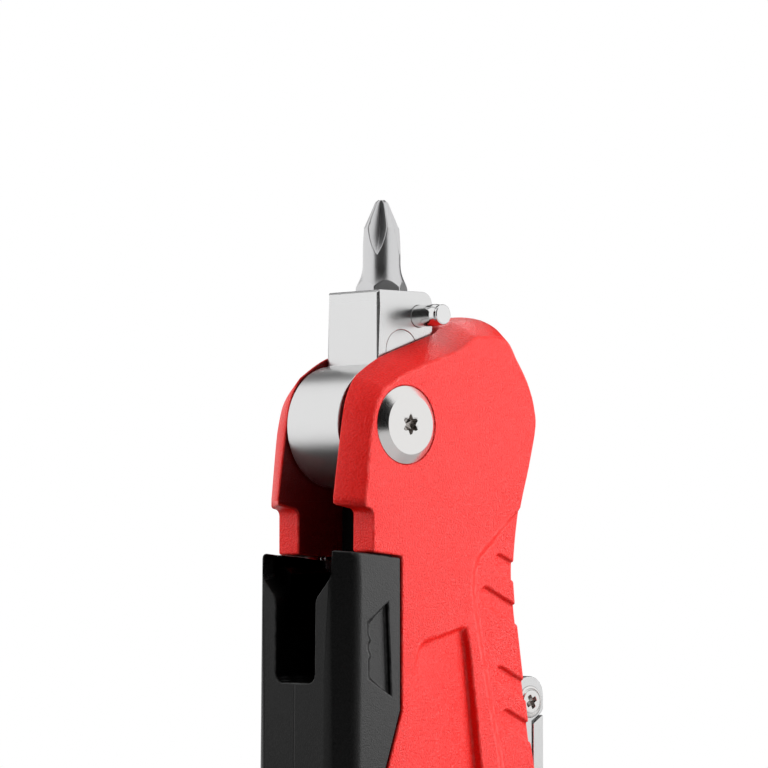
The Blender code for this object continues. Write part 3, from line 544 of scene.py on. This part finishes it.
def unfold(bm, rounds=4):
    """Close up the small faces that lie folded back on a neighbour, where two roundings meet.

    Each shrinks to a point.  Those above FOLD_TOP, round the head's wide slope, stay."""
    for _ in range(rounds):
        bm.normal_update()
        folded = set()
        for crease in bm.edges:
            sides = crease.link_faces
            if len(sides) == 2 and sides[0].normal.dot(sides[1].normal) < FOLD_COSINE:
                small = min(sides, key=lambda face: face.calc_area())
                if max(e.calc_length() for e in small.edges) < FOLD_SIZE * MM:
                    folded.add(small)
        rims = {e for face in folded for e in face.edges if max(v.co.z for v in face.verts) < FOLD_TOP * MM}
        bmesh.ops.collapse(bm, edges=list(rims), uvs=False)
        bmesh.ops.dissolve_degenerate(bm, edges=bm.edges, dist=FOLD_THIN * MM)
    drop_wires(bm)


# %% Rounded copies
WELD, FLAT_ANGLE, MERGE = 0.002, math.radians(0.6), 0.05
SHARP_ANGLE, ROUND_FACES = math.radians(26.0), 3


def rounded_copy(node, width, reshape=None, extra=(), spare=None, lift=0.0):
    """A copy of a CAD node whose edges sharper than SHARP_ANGLE are rounded to width, in mm.

    Loose triangles are merged and flat ones joined, then each sharp edge becomes
    a strip of faces on an arc.  The attribute edge is 1 inside those strips.
    reshape may first move points of the copy.  extra lists tests that pick edges with a
    rounding of their own, each with its width and its number of faces, and spare picks
    the edges that stay sharp.  The copy keeps to the node's box, raised by lift at the top."""
    bm = bmesh.new()
    bm.from_mesh(NODES[node].data)
    bmesh.ops.remove_doubles(bm, verts=bm.verts, dist=WELD * MM)
    bmesh.ops.dissolve_limit(bm, angle_limit=FLAT_ANGLE, verts=bm.verts, edges=bm.edges)
    bmesh.ops.remove_doubles(bm, verts=bm.verts, dist=MERGE * MM)
    drop_wires(bm)
    if reshape:
        reshape(bm)
    strips = set()
    for test, wide, faces in (*extra, (lambda e: e.calc_face_angle(0) > SHARP_ANGLE, width, ROUND_FACES)):
        picked = [e for e in bm.edges if len(e.link_faces) == 2 and test(e) and not (spare and spare(e))]
        made = bmesh.ops.bevel(bm, geom=picked, offset=wide * MM, offset_type="OFFSET", segments=faces, profile=0.5,
                               affect="EDGES", clamp_overlap=False, loop_slide=True, miter_outer="SHARP",
                               miter_inner="SHARP")
        strips.update(made["faces"])
    unfold(bm)
    strips = {face for face in strips if face.is_valid}
    edge = np.array([all(f in strips for f in v.link_faces) for v in bm.verts])
    settle_order(bm)
    low, high = (np.array(c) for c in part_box(node))
    mesh = bpy.data.meshes.new(node + "_rounded")
    bm.to_mesh(mesh)
    bm.free()
    place = np.clip(points_of(mesh), low, high + (0, 0, lift * MM))
    mesh.vertices.foreach_set("co", place.ravel())
    mark(mesh, "edge", edge)
    mesh.shade_smooth()
    mesh.update()
    return mesh


# %% Dressed nodes
def dress(name, mesh, node, material):
    """Show a mesh in place of a CAD node, on the node's body and with the given material."""
    piece = bpy.data.objects.new(name, mesh)
    bpy.context.scene.collection.objects.link(piece)
    mesh.materials.clear()
    mesh.materials.append(material)
    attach(piece, BODY_OF[node])
    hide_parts(node)
    return piece


def even_shading(piece):
    """Let large flat faces set the normals, so that only the rounded strips curve."""
    step = piece.modifiers.new("even_shading", "WEIGHTED_NORMAL")
    step.mode = "FACE_AREA"
    step.weight = 100
    step.keep_sharp = True


# %% [markdown]
# ## The handle
# The halves of the handle are cast and then coated.  The walls of a casting lean a
# little, so that it leaves its mould, and the rim round the head is softer than the
# other edges.  The copy's points are moved before its edges are rounded, because the
# rounding then follows the leaning walls.  The door's room is fitted in the same way.


# %% Edges of the handle
HALF_THICK, EDGE_X, HEAD_FOOT, RIM_ANGLE = 9.75, 5.25, 89.5, 0.2
PIVOTS, SEAT_R, SEAT_NEAR, NEAR = ((-3.7, 99.8), (14.0, 12.0)), 5.5, 0.06, 0.05


def ends_of(edge):
    """The places of an edge's two ends in mm."""
    return [v.co / MM for v in edge.verts]


def head_rim(edge):
    """The outer edge round the handle's head, which is rounded more than the others."""
    on_rim = all(abs(abs(v.x) - EDGE_X) < NEAR and v.z > HEAD_FOOT for v in ends_of(edge))
    return on_rim and edge.calc_face_angle(0) > RIM_ANGLE


def screw_seat(edge):
    """The rims of the two pivot screws' seats, which are cut after coating and stay sharp."""
    ends = ends_of(edge)
    return any(all(abs(math.hypot(v.y - y, v.z - z) - SEAT_R) < SEAT_NEAR for v in ends) for y, z in PIVOTS)


# %% Leaning walls
WALL_TILT, SIDE_NEAR, SUNK = 0.2, 0.03, 0.1
GRIP_DEPTH, GRIP_BACK, GRIP_TOP, GRIP_FADE, GRIP_RAMP = 0.6, 8.0, 88.0, 4.0, 1.1
PANEL_FLOOR, PANEL_Y, PANEL_Z, PANEL_FACING, PANEL_RAMP = 8.0, (-3.5, 9.0), (20.0, 72.0), -0.3, 0.9


def wall_moves(face):
    """The points of an upright wall that move to make it lean, each with its way in mm.

    The foot of a wall of the grip zone moves into the zone, less and less towards GRIP_TOP.
    The top of a wall of the panel moves away from the panel."""
    far = [abs(v.co.x) / MM for v in face.verts]
    middle = face.calc_center_median() / MM
    if abs(face.normal.x) > WALL_TILT or abs(max(far) - HALF_THICK) > SIDE_NEAR:
        return []
    if abs(min(far) - HALF_THICK + GRIP_DEPTH) < NEAR and middle.y > GRIP_BACK:
        foot = [v for v, x in zip(face.verts, far) if x < HALF_THICK - SUNK]
        below = [float(np.clip(GRIP_TOP - v.co.z / MM, 0, GRIP_FADE)) for v in foot]
        return [(v, face.normal * GRIP_RAMP * drop / GRIP_FADE) for v, drop in zip(foot, below)]
    in_panel = PANEL_Y[0] < middle.y < PANEL_Y[1] and PANEL_Z[0] < middle.z < PANEL_Z[1]
    if in_panel and min(far) > PANEL_FLOOR and face.normal.y > PANEL_FACING:
        return [(v, -face.normal * PANEL_RAMP) for v, x in zip(face.verts, far) if x > HALF_THICK - SIDE_NEAR]
    return []


def slanted_walls(bm):
    """Lean the upright walls of the grip zone and of the panel: each point moves by the mean
    of what its walls ask for."""
    shift = {}
    for face in bm.faces:
        for v, way in wall_moves(face):
            shift.setdefault(v, []).append(way)
    for v, ways in shift.items():
        v.co += sum(ways, Vector()) / len(ways) * MM
    print("slanted walls:", len(shift), "points moved")


# %% The door's room
DOOR_CORNER, CORNER_RISE, TOP_DROP, FAR_DROP = 59.5, 1.5, 0.22, 0.38
ROOM_BACK, ROOM_TOP, ROOM_SLOPE, ROOM_NEAR = -4.5, 82.15, 0.065, 0.06


def lift_corner(bm, y, z, rise):
    """Raise the points of a corner of the door's side outline, on the door or in its room."""
    for v in bm.verts:
        if abs(v.co.y / MM - y) < NEAR and abs(v.co.z / MM - z) < NEAR:
            v.co.z += rise * MM


def fitted_shell(bm):
    """Lean the walls, raise the corner of the door's room, and lower the room's ceiling at its
    back edge and on the left."""
    slanted_walls(bm)
    lift_corner(bm, ROOM_BACK, DOOR_CORNER, CORNER_RISE)
    for v in bm.verts:
        x, y, z = v.co / MM
        if y < ROOM_BACK + NEAR and abs(z - ROOM_TOP - ROOM_SLOPE * (ROOM_BACK - y)) < ROOM_NEAR:
            v.co.z -= (TOP_DROP * (abs(y - ROOM_BACK) < NEAR) + FAR_DROP * (x < 0)) * MM


# %% Handle shells
SHELL_ROUND, RIM_ROUND, RIM_FACES, INWARD = 0.35, 1.3, 4, -0.9
for node in ("handle_shell_right", "handle_shell_left"):
    mesh = rounded_copy(node, SHELL_ROUND, reshape=fitted_shell, extra=((head_rim, RIM_ROUND, RIM_FACES),),
                        spare=screw_seat)
    # Points whose normals face inwards mark the inner walls, where the coat paints a dark shade.
    facing = np.empty(len(mesh.vertices) * 3, np.float32)
    mesh.vertex_normals.foreach_get("vector", facing)
    mark(mesh, "inside", facing[::3] * np.sign(points_of(mesh)[:, 0]) < INWARD)
    even_shading(dress(node + "_dressed", mesh, node, red_coat))
    print(node, "has", len(mesh.polygons), "faces")

# %% [markdown]
# ## The door
# The black door is moulded.  Its slanting front corners are soft along their whole
# length, and a blade is sunk into its right side as a mark.  The solid has plain
# levels, so the copy's top, lower corner and mark are moved a little to fit the
# photograph.  An attribute marks the inside, where the finish paints a black shade.


# %% Shape of the door
DOOR_TOP, DOOR_RISE, DOOR_BACK, DOOR_FRONT = 81.5, 0.4, -4.8, -15.2
MARK_X, MARK_Y, MARK_Z, MARK_FOOT = 8.9, (-11.2, -6.2), (61.3, 76.5), 62.3
MARK_RISE, MARK_STRETCH, MARK_END, MARK_SLOPE = 0.8, 0.97, 1.5, 0.8
LONG, LONG_X, LONG_Y, FAR_X, FAR_Y = 20, 6.7, -12, -6.5, -12.5


def fitted_door(bm):
    """Raise the door's top, its side's corner and the sunk mark a little, as in the photograph."""
    lift_corner(bm, DOOR_BACK, DOOR_CORNER, CORNER_RISE)
    for v in bm.verts:
        x, y, z = v.co / MM
        if z > DOOR_TOP:
            v.co.z += (DOOR_RISE * (DOOR_BACK - y) / (DOOR_BACK - DOOR_FRONT) - FAR_DROP * (x < 0)) * MM
        elif x > MARK_X and MARK_Y[0] < y < MARK_Y[1] and MARK_Z[0] < z < MARK_Z[1]:
            v.co.z = (MARK_FOOT + MARK_RISE + (z - MARK_FOOT) * MARK_STRETCH) * MM
            if x < HALF_THICK - SUNK and y < MARK_Y[0] + MARK_END:
                v.co.y += MARK_SLOPE * MM


def long_edge(edge):
    """The upright edges beside the door's slanting corners, which are softly rounded."""
    end = edge.verts[0].co
    return edge.calc_length() > LONG * MM and abs(end.x) > LONG_X * MM and end.y < LONG_Y * MM


def far_top(edge):
    """The top edge of the door's left slanting corner, which is worn rounder than the others."""
    return all(v.co.z > DOOR_TOP * MM and v.co.x < FAR_X * MM and v.co.y < FAR_Y * MM for v in edge.verts)


# %% Storage door
DOOR_ROUND, LONG_ROUND, FAR_ROUND = 0.25, (1.0, 5), (0.6, 4)
INSIDE_X, INSIDE_Y = 7.3, 14.6
door_mesh = rounded_copy("storage_door", DOOR_ROUND, reshape=fitted_door, lift=DOOR_RISE,
                         extra=((long_edge, *LONG_ROUND), (far_top, *FAR_ROUND)))
aside, ahead, _ = np.abs(points_of(door_mesh) / MM).T
# The inside is marked for its painted black shade.
mark(door_mesh, "inside", (ahead < INSIDE_Y) & (aside < INSIDE_X))
even_shading(dress("storage_door_dressed", door_mesh, "storage_door", black_plastic))
print("door of", len(door_mesh.polygons), "faces")

# %% [markdown]
# ## Carrier, spacer and holder
# The other plated and moulded pieces need only a narrow rounding.  The driver's holder
# has a small flat on the two upright front edges of its block.  Its hub is brushed a
# little duller than the block, so an attribute marks the round of the hub.

# %% Inner pieces
NARROW_ROUND = {"blade_carrier": 0.15, "carrier_cover": 0.15, "inner_spacer": 0.25, "blade_release_button": 0.2}
for node, width in NARROW_ROUND.items():
    even_shading(dress(node + "_dressed", rounded_copy(node, width), node, FINISH[SLOT_OF[node]]))
print(len(NARROW_ROUND), "inner pieces")

# %% Driver holder
BLOCK_FOOT, BLOCK_RISE, BLOCK_FRONT, BLOCK_SIDE = 105.2, 4, -4, 5
HOLDER_ROUND, BLOCK_FLAT, HUB_R, HUB_NEAR = 0.1, (0.35, 1), 8.5, 0.3


def block_corner(edge):
    """The upright front edges of the driver block, which have a small flat."""
    a, b = ends_of(edge)
    upright = abs(a.z - b.z) > BLOCK_RISE and min(a.z, b.z) > BLOCK_FOOT
    return upright and max(a.y, b.y) < BLOCK_FRONT and min(abs(a.x), abs(b.x)) > BLOCK_SIDE


holder_mesh = rounded_copy("bit_holder", HOLDER_ROUND, extra=((block_corner, *BLOCK_FLAT),))
_, y, z = (points_of(holder_mesh) / MM).T
mark(holder_mesh, "round", np.abs(np.hypot(y - PIVOTS[0][0], z - PIVOTS[0][1]) - HUB_R) < HUB_NEAR)
even_shading(dress("bit_holder_dressed", holder_mesh, "bit_holder", satin_plate))
print("holder of", len(holder_mesh.polygons), "faces")

# %% [markdown]
# ## Turned pieces
# Screws, studs and buttons are turned on a lathe, so each is a stack of rings about
# an axis: row after row of the grid is a ring, and its radius and height may change
# round the ring.  A star recess is then only a ring that isn't round, carried down
# into the head and closed at the bottom.  A Boolean cut would do the same, but its
# long thin faces shade badly on polished metal.


# %% Stacks of rings
RING_WELD, RING_THIN = 0.0005, 0.0002


def ring_stack(name, radius, height, centre, axis="X", deep=None):
    """A closed surface of rings: point (i, j) lies radius[i, j] from the axis, at angle
    2 pi j / n, and height[i, j] along it.  The first and last rings shrink to one point.
    The attribute lathe is the way along the profile, summed from ring to ring, and
    deep is 1 on the rings inside a recess."""
    radius, height = np.broadcast_arrays(radius, height)
    rows, n = radius.shape
    turn = np.linspace(0, 2 * math.pi, n, endpoint=False)
    across, up = radius * np.cos(turn), radius * np.sin(turn)
    if axis == "X":
        points = np.stack((height, centre[0] + across, centre[1] + up), -1)
    else:
        points = np.stack((centre[0] + across, centre[1] + up, height), -1)
    step = np.hypot(np.diff(radius.mean(1)), np.diff(height.mean(1)))
    lathe = np.repeat(np.concatenate(([0], np.cumsum(step))), n)
    i, j = np.meshgrid(np.arange(rows - 1), np.arange(n), indexing="ij")
    k = (j + 1) % n
    faces = np.stack((i * n + j, i * n + k, (i + 1) * n + k, (i + 1) * n + j), -1).reshape(-1, 4)
    mesh = bpy.data.meshes.new(name)
    mesh.from_pydata((points.reshape(-1, 3) * MM).tolist(), [], faces.tolist())
    mark(mesh, "lathe", lathe)
    mark(mesh, "deep", np.repeat(np.zeros(rows) if deep is None else deep, n))
    bm = bmesh.new()
    bm.from_mesh(mesh)
    bmesh.ops.remove_doubles(bm, verts=bm.verts, dist=RING_WELD * MM)
    bmesh.ops.dissolve_degenerate(bm, edges=bm.edges, dist=RING_THIN * MM)
    bmesh.ops.recalc_face_normals(bm, faces=bm.faces)
    bm.to_mesh(mesh)
    bm.free()
    mesh.shade_smooth()
    return mesh


def rounded_profile(profile, steps=4):
    """A profile of straight lines whose corners are rounded.  Each row is a radius, a height
    and a rounding in mm: at a corner the curve is a parabola between the two points that
    lie one rounding away along its lines."""
    profile = np.array(profile, float)
    corners, roundings = profile[:, :2], profile[1:-1, 2]
    t = np.linspace(0, 1, steps + 1)[:, None]
    curve = [corners[:1]]
    for before, here, after, r in zip(corners, corners[1:], corners[2:], roundings):
        start = here + (before - here) * min(0.5, r / np.linalg.norm(before - here))
        end = here + (after - here) * min(0.5, r / np.linalg.norm(after - here))
        curve.append((1 - t) ** 2 * start + 2 * t * (1 - t) * here + t ** 2 * end if r else here[None])
    return np.concatenate(curve + [corners[-1:]])


def axis_of(node):
    """Y and Z of the middle of a CAD node's box, in mm."""
    low, high = (np.array(c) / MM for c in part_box(node))
    return (low + high)[1:] / 2


# %% Outlines of recesses
TURN_STEPS = 120
TURN = np.linspace(0, 2 * math.pi, TURN_STEPS, endpoint=False)


def star_outline(outer, inner, points=6, power=1.1):
    """Radius of a rounded star: it swings between inner and outer as a sharpened cosine."""
    wave = 0.5 + 0.5 * np.cos(points * (TURN - math.pi / 2))
    return inner + (outer - inner) * wave ** power


def cross_outline(arm, half, lean, least=1e-3):
    """Radius of a cross with round-ended arms: the larger of two crossed bars, each the
    smaller of its end and its side as seen along the ray."""
    bars = [np.minimum(arm, half / np.maximum(np.abs(np.sin(TURN - lean - shift)), least))
            for shift in (0, math.pi / 2)]
    return np.maximum(*bars)


# %% Recessed heads
BOTTOM_SHARES, BOTTOM_DISH = np.linspace(0.0, 0.85, 5)[:, None], 0.25
WALL_SHARES, WALL_DROP, LIP_DROPS = np.array([0.93, 0.97, 1.0, 1.03, 1.06])[:, None], 0.6, (0.12, 0.02, 0.0)
FLAT_SHARES, DEEP_WALLS = np.linspace(0.15, 1, 6)[:, None], 3


def recessed_head(name, outline, depth, rim, profile, centre, side):
    """A turned body along a profile, which starts with a flat that has a recess in it.

    Each ring of the recess is its outline times a share: the rings of a dished bottom, then
    those of the walls and the lip.  The flat spreads from the lip to the radius rim.  side is
    -1 for a head on the left."""
    top, body = profile[0][1], rounded_profile(profile)
    edge = outline[None]
    inside = BOTTOM_SHARES * edge
    bottom = np.full_like(inside, top - depth) - BOTTOM_DISH * (1 - inside / edge)
    walls = WALL_SHARES * edge
    drop = np.array([depth, WALL_DROP * depth, *LIP_DROPS])[:, None] + 0 * edge
    spread = walls[-1:] + (rim - walls[-1:]) * FLAT_SHARES
    rings = np.ones((1, TURN_STEPS))
    radius = np.concatenate((inside, walls, spread, body[:, :1] * rings))
    height = np.concatenate((bottom, top - drop, np.full_like(spread, top), body[:, 1:] * rings))
    # deep marks the recess rings, which the finish darkens as painted shade.
    deep = np.arange(len(radius)) < len(inside) + DEEP_WALLS
    return ring_stack(name, radius, side * height, centre, deep=deep)


# %% Pivot screws
HEAD_TOP, HEAD_R, HEAD_UNDER, HEAD_SLOPE = 10.65, 5.38, 8.6, 0.95
HEAD_FLAT_R, HEAD_INNER_R, HEAD_RIM_R = 4.1, 3.8, 3.7
SHAFT_R, SHAFT_END, SLEEVE_R, SLEEVE_END, BORE_R, BORE_END = 2.8, 7.0, 4.0, 5.9, 2.9, 7.2
PIVOT_STAR, PIVOT_DEPTH = star_outline(outer=1.36, inner=0.88), 1.1
HEAD = [(HEAD_INNER_R, HEAD_TOP, 0), (HEAD_FLAT_R, HEAD_TOP, 0.05), (HEAD_R, HEAD_TOP - HEAD_SLOPE, 0.12),
        (HEAD_R, HEAD_UNDER, 0)]
SHAFT = [(SHAFT_R, HEAD_UNDER, 0), (SHAFT_R, -SHAFT_END, 0.1), (0, -SHAFT_END, 0)]
SLEEVE = [(SLEEVE_R, HEAD_UNDER, 0), (SLEEVE_R, SLEEVE_END, 0.1), (BORE_R, SLEEVE_END, 0.1), (BORE_R, BORE_END, 0),
          (0, BORE_END, 0)]
for label in ("driver_pivot", "blade_pivot"):
    centre = axis_of(label + "_screw")
    for node, rest, side in ((label + "_screw", SHAFT, 1), (label + "_nut", SLEEVE, -1)):
        mesh = recessed_head(node + "_turned", PIVOT_STAR, PIVOT_DEPTH, HEAD_RIM_R, HEAD + rest, centre, side)
        even_shading(dress(node + "_dressed", mesh, node, turned_plate))
print("pivot screws and nuts done")

# %% Handle screws
CAP_TOP, CAP_UNDER, CAP_R, CAP_SHAFT_R, CAP_RIM_R = 9.55, 8.2, 2.88, 1.5, 2.0
CAP_STAR, CAP_DEPTH = star_outline(outer=1.15, inner=0.7), 1.0
for node in ("handle_screw_1", "handle_screw_2", "handle_screw_3"):
    end = -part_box(node)[1][0] / MM
    cap = [(2.2, CAP_TOP, 0), (2.6, CAP_TOP, 0.15), (CAP_R, 9.2, 0.15), (CAP_R, CAP_UNDER, 0),
           (CAP_SHAFT_R, CAP_UNDER, 0), (CAP_SHAFT_R, end, 0.2), (0, end, 0)]
    mesh = recessed_head(node + "_turned", CAP_STAR, CAP_DEPTH, CAP_RIM_R, cap, axis_of(node), -1)
    even_shading(dress(node + "_dressed", mesh, node, ground_steel))
print("handle screws done")

# %% Clamp screw
CLAMP_TOP, CLAMP_SEAT, CLAMP_SHAFT_R, CLAMP_END, CLAMP_RIM_R = 3.05, 2.7, 1.0, -2.4, 1.2
CLAMP_CROSS, CLAMP_DEPTH = cross_outline(arm=1.0, half=0.36, lean=0.5), 0.7
CLAMP = [(1.3, CLAMP_TOP, 0), (1.62, CLAMP_TOP, 0.05), (1.7, CLAMP_SEAT + 0.05, 0), (1.86, CLAMP_SEAT + 0.05, 0),
         (1.92, CLAMP_SEAT + 0.22, 0.05), (2.1, CLAMP_SEAT + 0.18, 0.1), (2.3, CLAMP_SEAT + 0.02, 0),
         (CLAMP_SHAFT_R, CLAMP_SEAT, 0), (CLAMP_SHAFT_R, CLAMP_END, 0.1), (0, CLAMP_END, 0)]
mesh = recessed_head("clamp_screw_turned", CLAMP_CROSS, CLAMP_DEPTH, CLAMP_RIM_R, CLAMP, axis_of("clamp_screw"), 1)
even_shading(dress("clamp_screw_dressed", mesh, "clamp_screw", turned_plate))
print("clamp screw done")

# %% [markdown]
# ## Studs, plug and lock button
# The thumb stud is turned with a shallow neck behind its end, which catches the light
# as a bright band.  The plug closes the cross hole of the socket and is ground flush.
# The lock button has two rings cut into its top, for the thumb.  Each piece is one
# profile, whose rows give a radius, a height and the rounding of that corner.


# %% Plain turned pieces
def turned(node, profile, side, material, count=96):
    """A turned piece about the X axis through the middle of a CAD node's box."""
    body = rounded_profile(profile)
    rings = np.ones((1, count))
    mesh = ring_stack(node + "_turned", body[:, :1] * rings, side * body[:, 1:] * rings, axis_of(node))
    even_shading(dress(node + "_dressed", mesh, node, material))


STUD = [(0, 10.2, 0), (1.3, 10.2, 0.08), (1.41, 10.08, 0.08), (1.41, 9.75, 0.05), (1.36, 9.7, 0.05),
        (1.36, 9.55, 0.05), (1.52, 8.7, 0.2), (1.52, 3.8, 0.1), (0, 3.8, 0)]
PLUG = [(0, 5.16, 0), (2.9, 5.16, 0.06), (2.9, 4.3, 0.1), (0, 4.3, 0)]
LOCK = [(0, 10.55, 0), (1.2, 10.55, 0.1), (1.35, 10.35, 0.1), (1.5, 10.6, 0.1), (2.2, 10.6, 0.1), (2.35, 10.4, 0.1),
        (2.5, 10.65, 0.1), (3.4, 10.7, 0.2), (3.95, 10.2, 0.3), (3.95, 8.6, 0.1), (2.3, 8.6, 0), (2.3, -5.0, 0.1),
        (0, -5.0, 0)]
turned("thumb_stud_right", STUD, 1, polished_plate)
turned("thumb_stud_left", STUD, -1, polished_plate)
turned("socket_plug", PLUG, 1, satin_plate)
turned("lock_button", LOCK, 1, ground_steel)
print("plain turned pieces done")

# %% [markdown]
# ## The bit
# A cross-point bit is a turned point with four ground flutes, on a quarter-inch
# hexagon.  Seen along any ray from the axis, its surface is simply the nearest of
# three surfaces: the turned profile, the hexagon and the flute.  So one grid of
# angle and height with the smallest of three radii gives the whole bit, with the
# arcs where the turned neck runs out into the hexagon.

# %% Radius of the bit
BIT_Y, BIT_TIP, BIT_FOOT, HEX_FLATS, SHANK_R = 0.7, 131.4, 110.9, 6.35, 4.1
FLUTE_END, FLUTE_WALL, FLUTE_ROOT, FLUTE_TURN, FLUTE_OPEN = 123.6, 0.97, (0.3, 0.59, 1.73), math.radians(-12.8), 0.02
NECK_R, NECK_Z, FLARE, FLARE_LENGTH, FLARE_POWER = 2.62, 122.3, np.linspace(0.2, 1.25, 16)[::-1], 3.1, 1.8
POINT_Z, POINT_R = (127.4, 131.05, BIT_TIP), (2.58, 0.95, 0.5)


def bit_radius(turn, z):
    """The smallest of the turned profile, the hexagon and the flute at each angle and height.

    A flute is a right-angled groove: its root leaves the axis as a cubic of the way from
    the tip, and its walls open from there by FLUTE_WALL sideways for each step outwards."""
    heights = np.concatenate(([BIT_FOOT], NECK_Z - FLARE_LENGTH * FLARE, [NECK_Z, *POINT_Z]))
    radii = np.concatenate(([SHANK_R], NECK_R + FLARE ** FLARE_POWER, [NECK_R, *POINT_R]))
    profile = np.interp(z, heights, radii)
    hexagon = 0.5 * HEX_FLATS / np.cos(turn % (math.pi / 3) - math.pi / 6)
    way = (BIT_TIP - z) / (BIT_TIP - FLUTE_END)
    root = FLUTE_ROOT[0] + FLUTE_ROOT[1] * way + FLUTE_ROOT[2] * way ** 3
    aside = (turn - FLUTE_TURN) % (math.pi / 2) - math.pi / 4
    opening = np.cos(aside) - FLUTE_WALL * np.abs(np.sin(aside))
    flute = np.where(opening > FLUTE_OPEN, root / np.maximum(opening, FLUTE_OPEN), np.inf)
    return np.minimum(np.minimum(profile, hexagon), flute)


# %% Driver bit
BIT_STEPS, FINE_ROWS, FINE_END, SHANK_TOP, SHANK_ROWS = 288, 220, 117.5, 117, 12
around = np.linspace(0, 2 * math.pi, BIT_STEPS, endpoint=False)[None]
fine, coarse = np.linspace(BIT_TIP, FINE_END, FINE_ROWS), np.linspace(SHANK_TOP, BIT_FOOT, SHANK_ROWS)
rows = np.concatenate((fine, coarse))[:, None]
radius = bit_radius(around, rows)
radius = np.concatenate((0 * radius[:1], radius, 0 * radius[:1]))
rows = np.concatenate((rows[:1], rows, rows[-1:]))
bit_mesh = ring_stack("driver_bit_ground", radius, rows, (0, BIT_Y), axis="Z")
dress("driver_bit_dressed", bit_mesh, "driver_bit", ground_steel)
print("bit of", len(bit_mesh.polygons), "faces")

# %% [markdown]
# ## The haze on coat and plastic
# Powder coat and moulded plastic scatter the bright wall behind the knife into an even
# haze, while the metal mirrors it as plain white.  Two of the lamps are therefore linked
# to the coated and moulded pieces alone.

# %% Haze
hazy = bpy.data.collections.new("hazy_pieces")
for node in ("handle_shell_right", "handle_shell_left", "storage_door"):
    hazy.objects.link(bpy.data.objects[node + "_dressed"])
for panel in haze_panels:
    panel.light_linking.receiver_collection = hazy
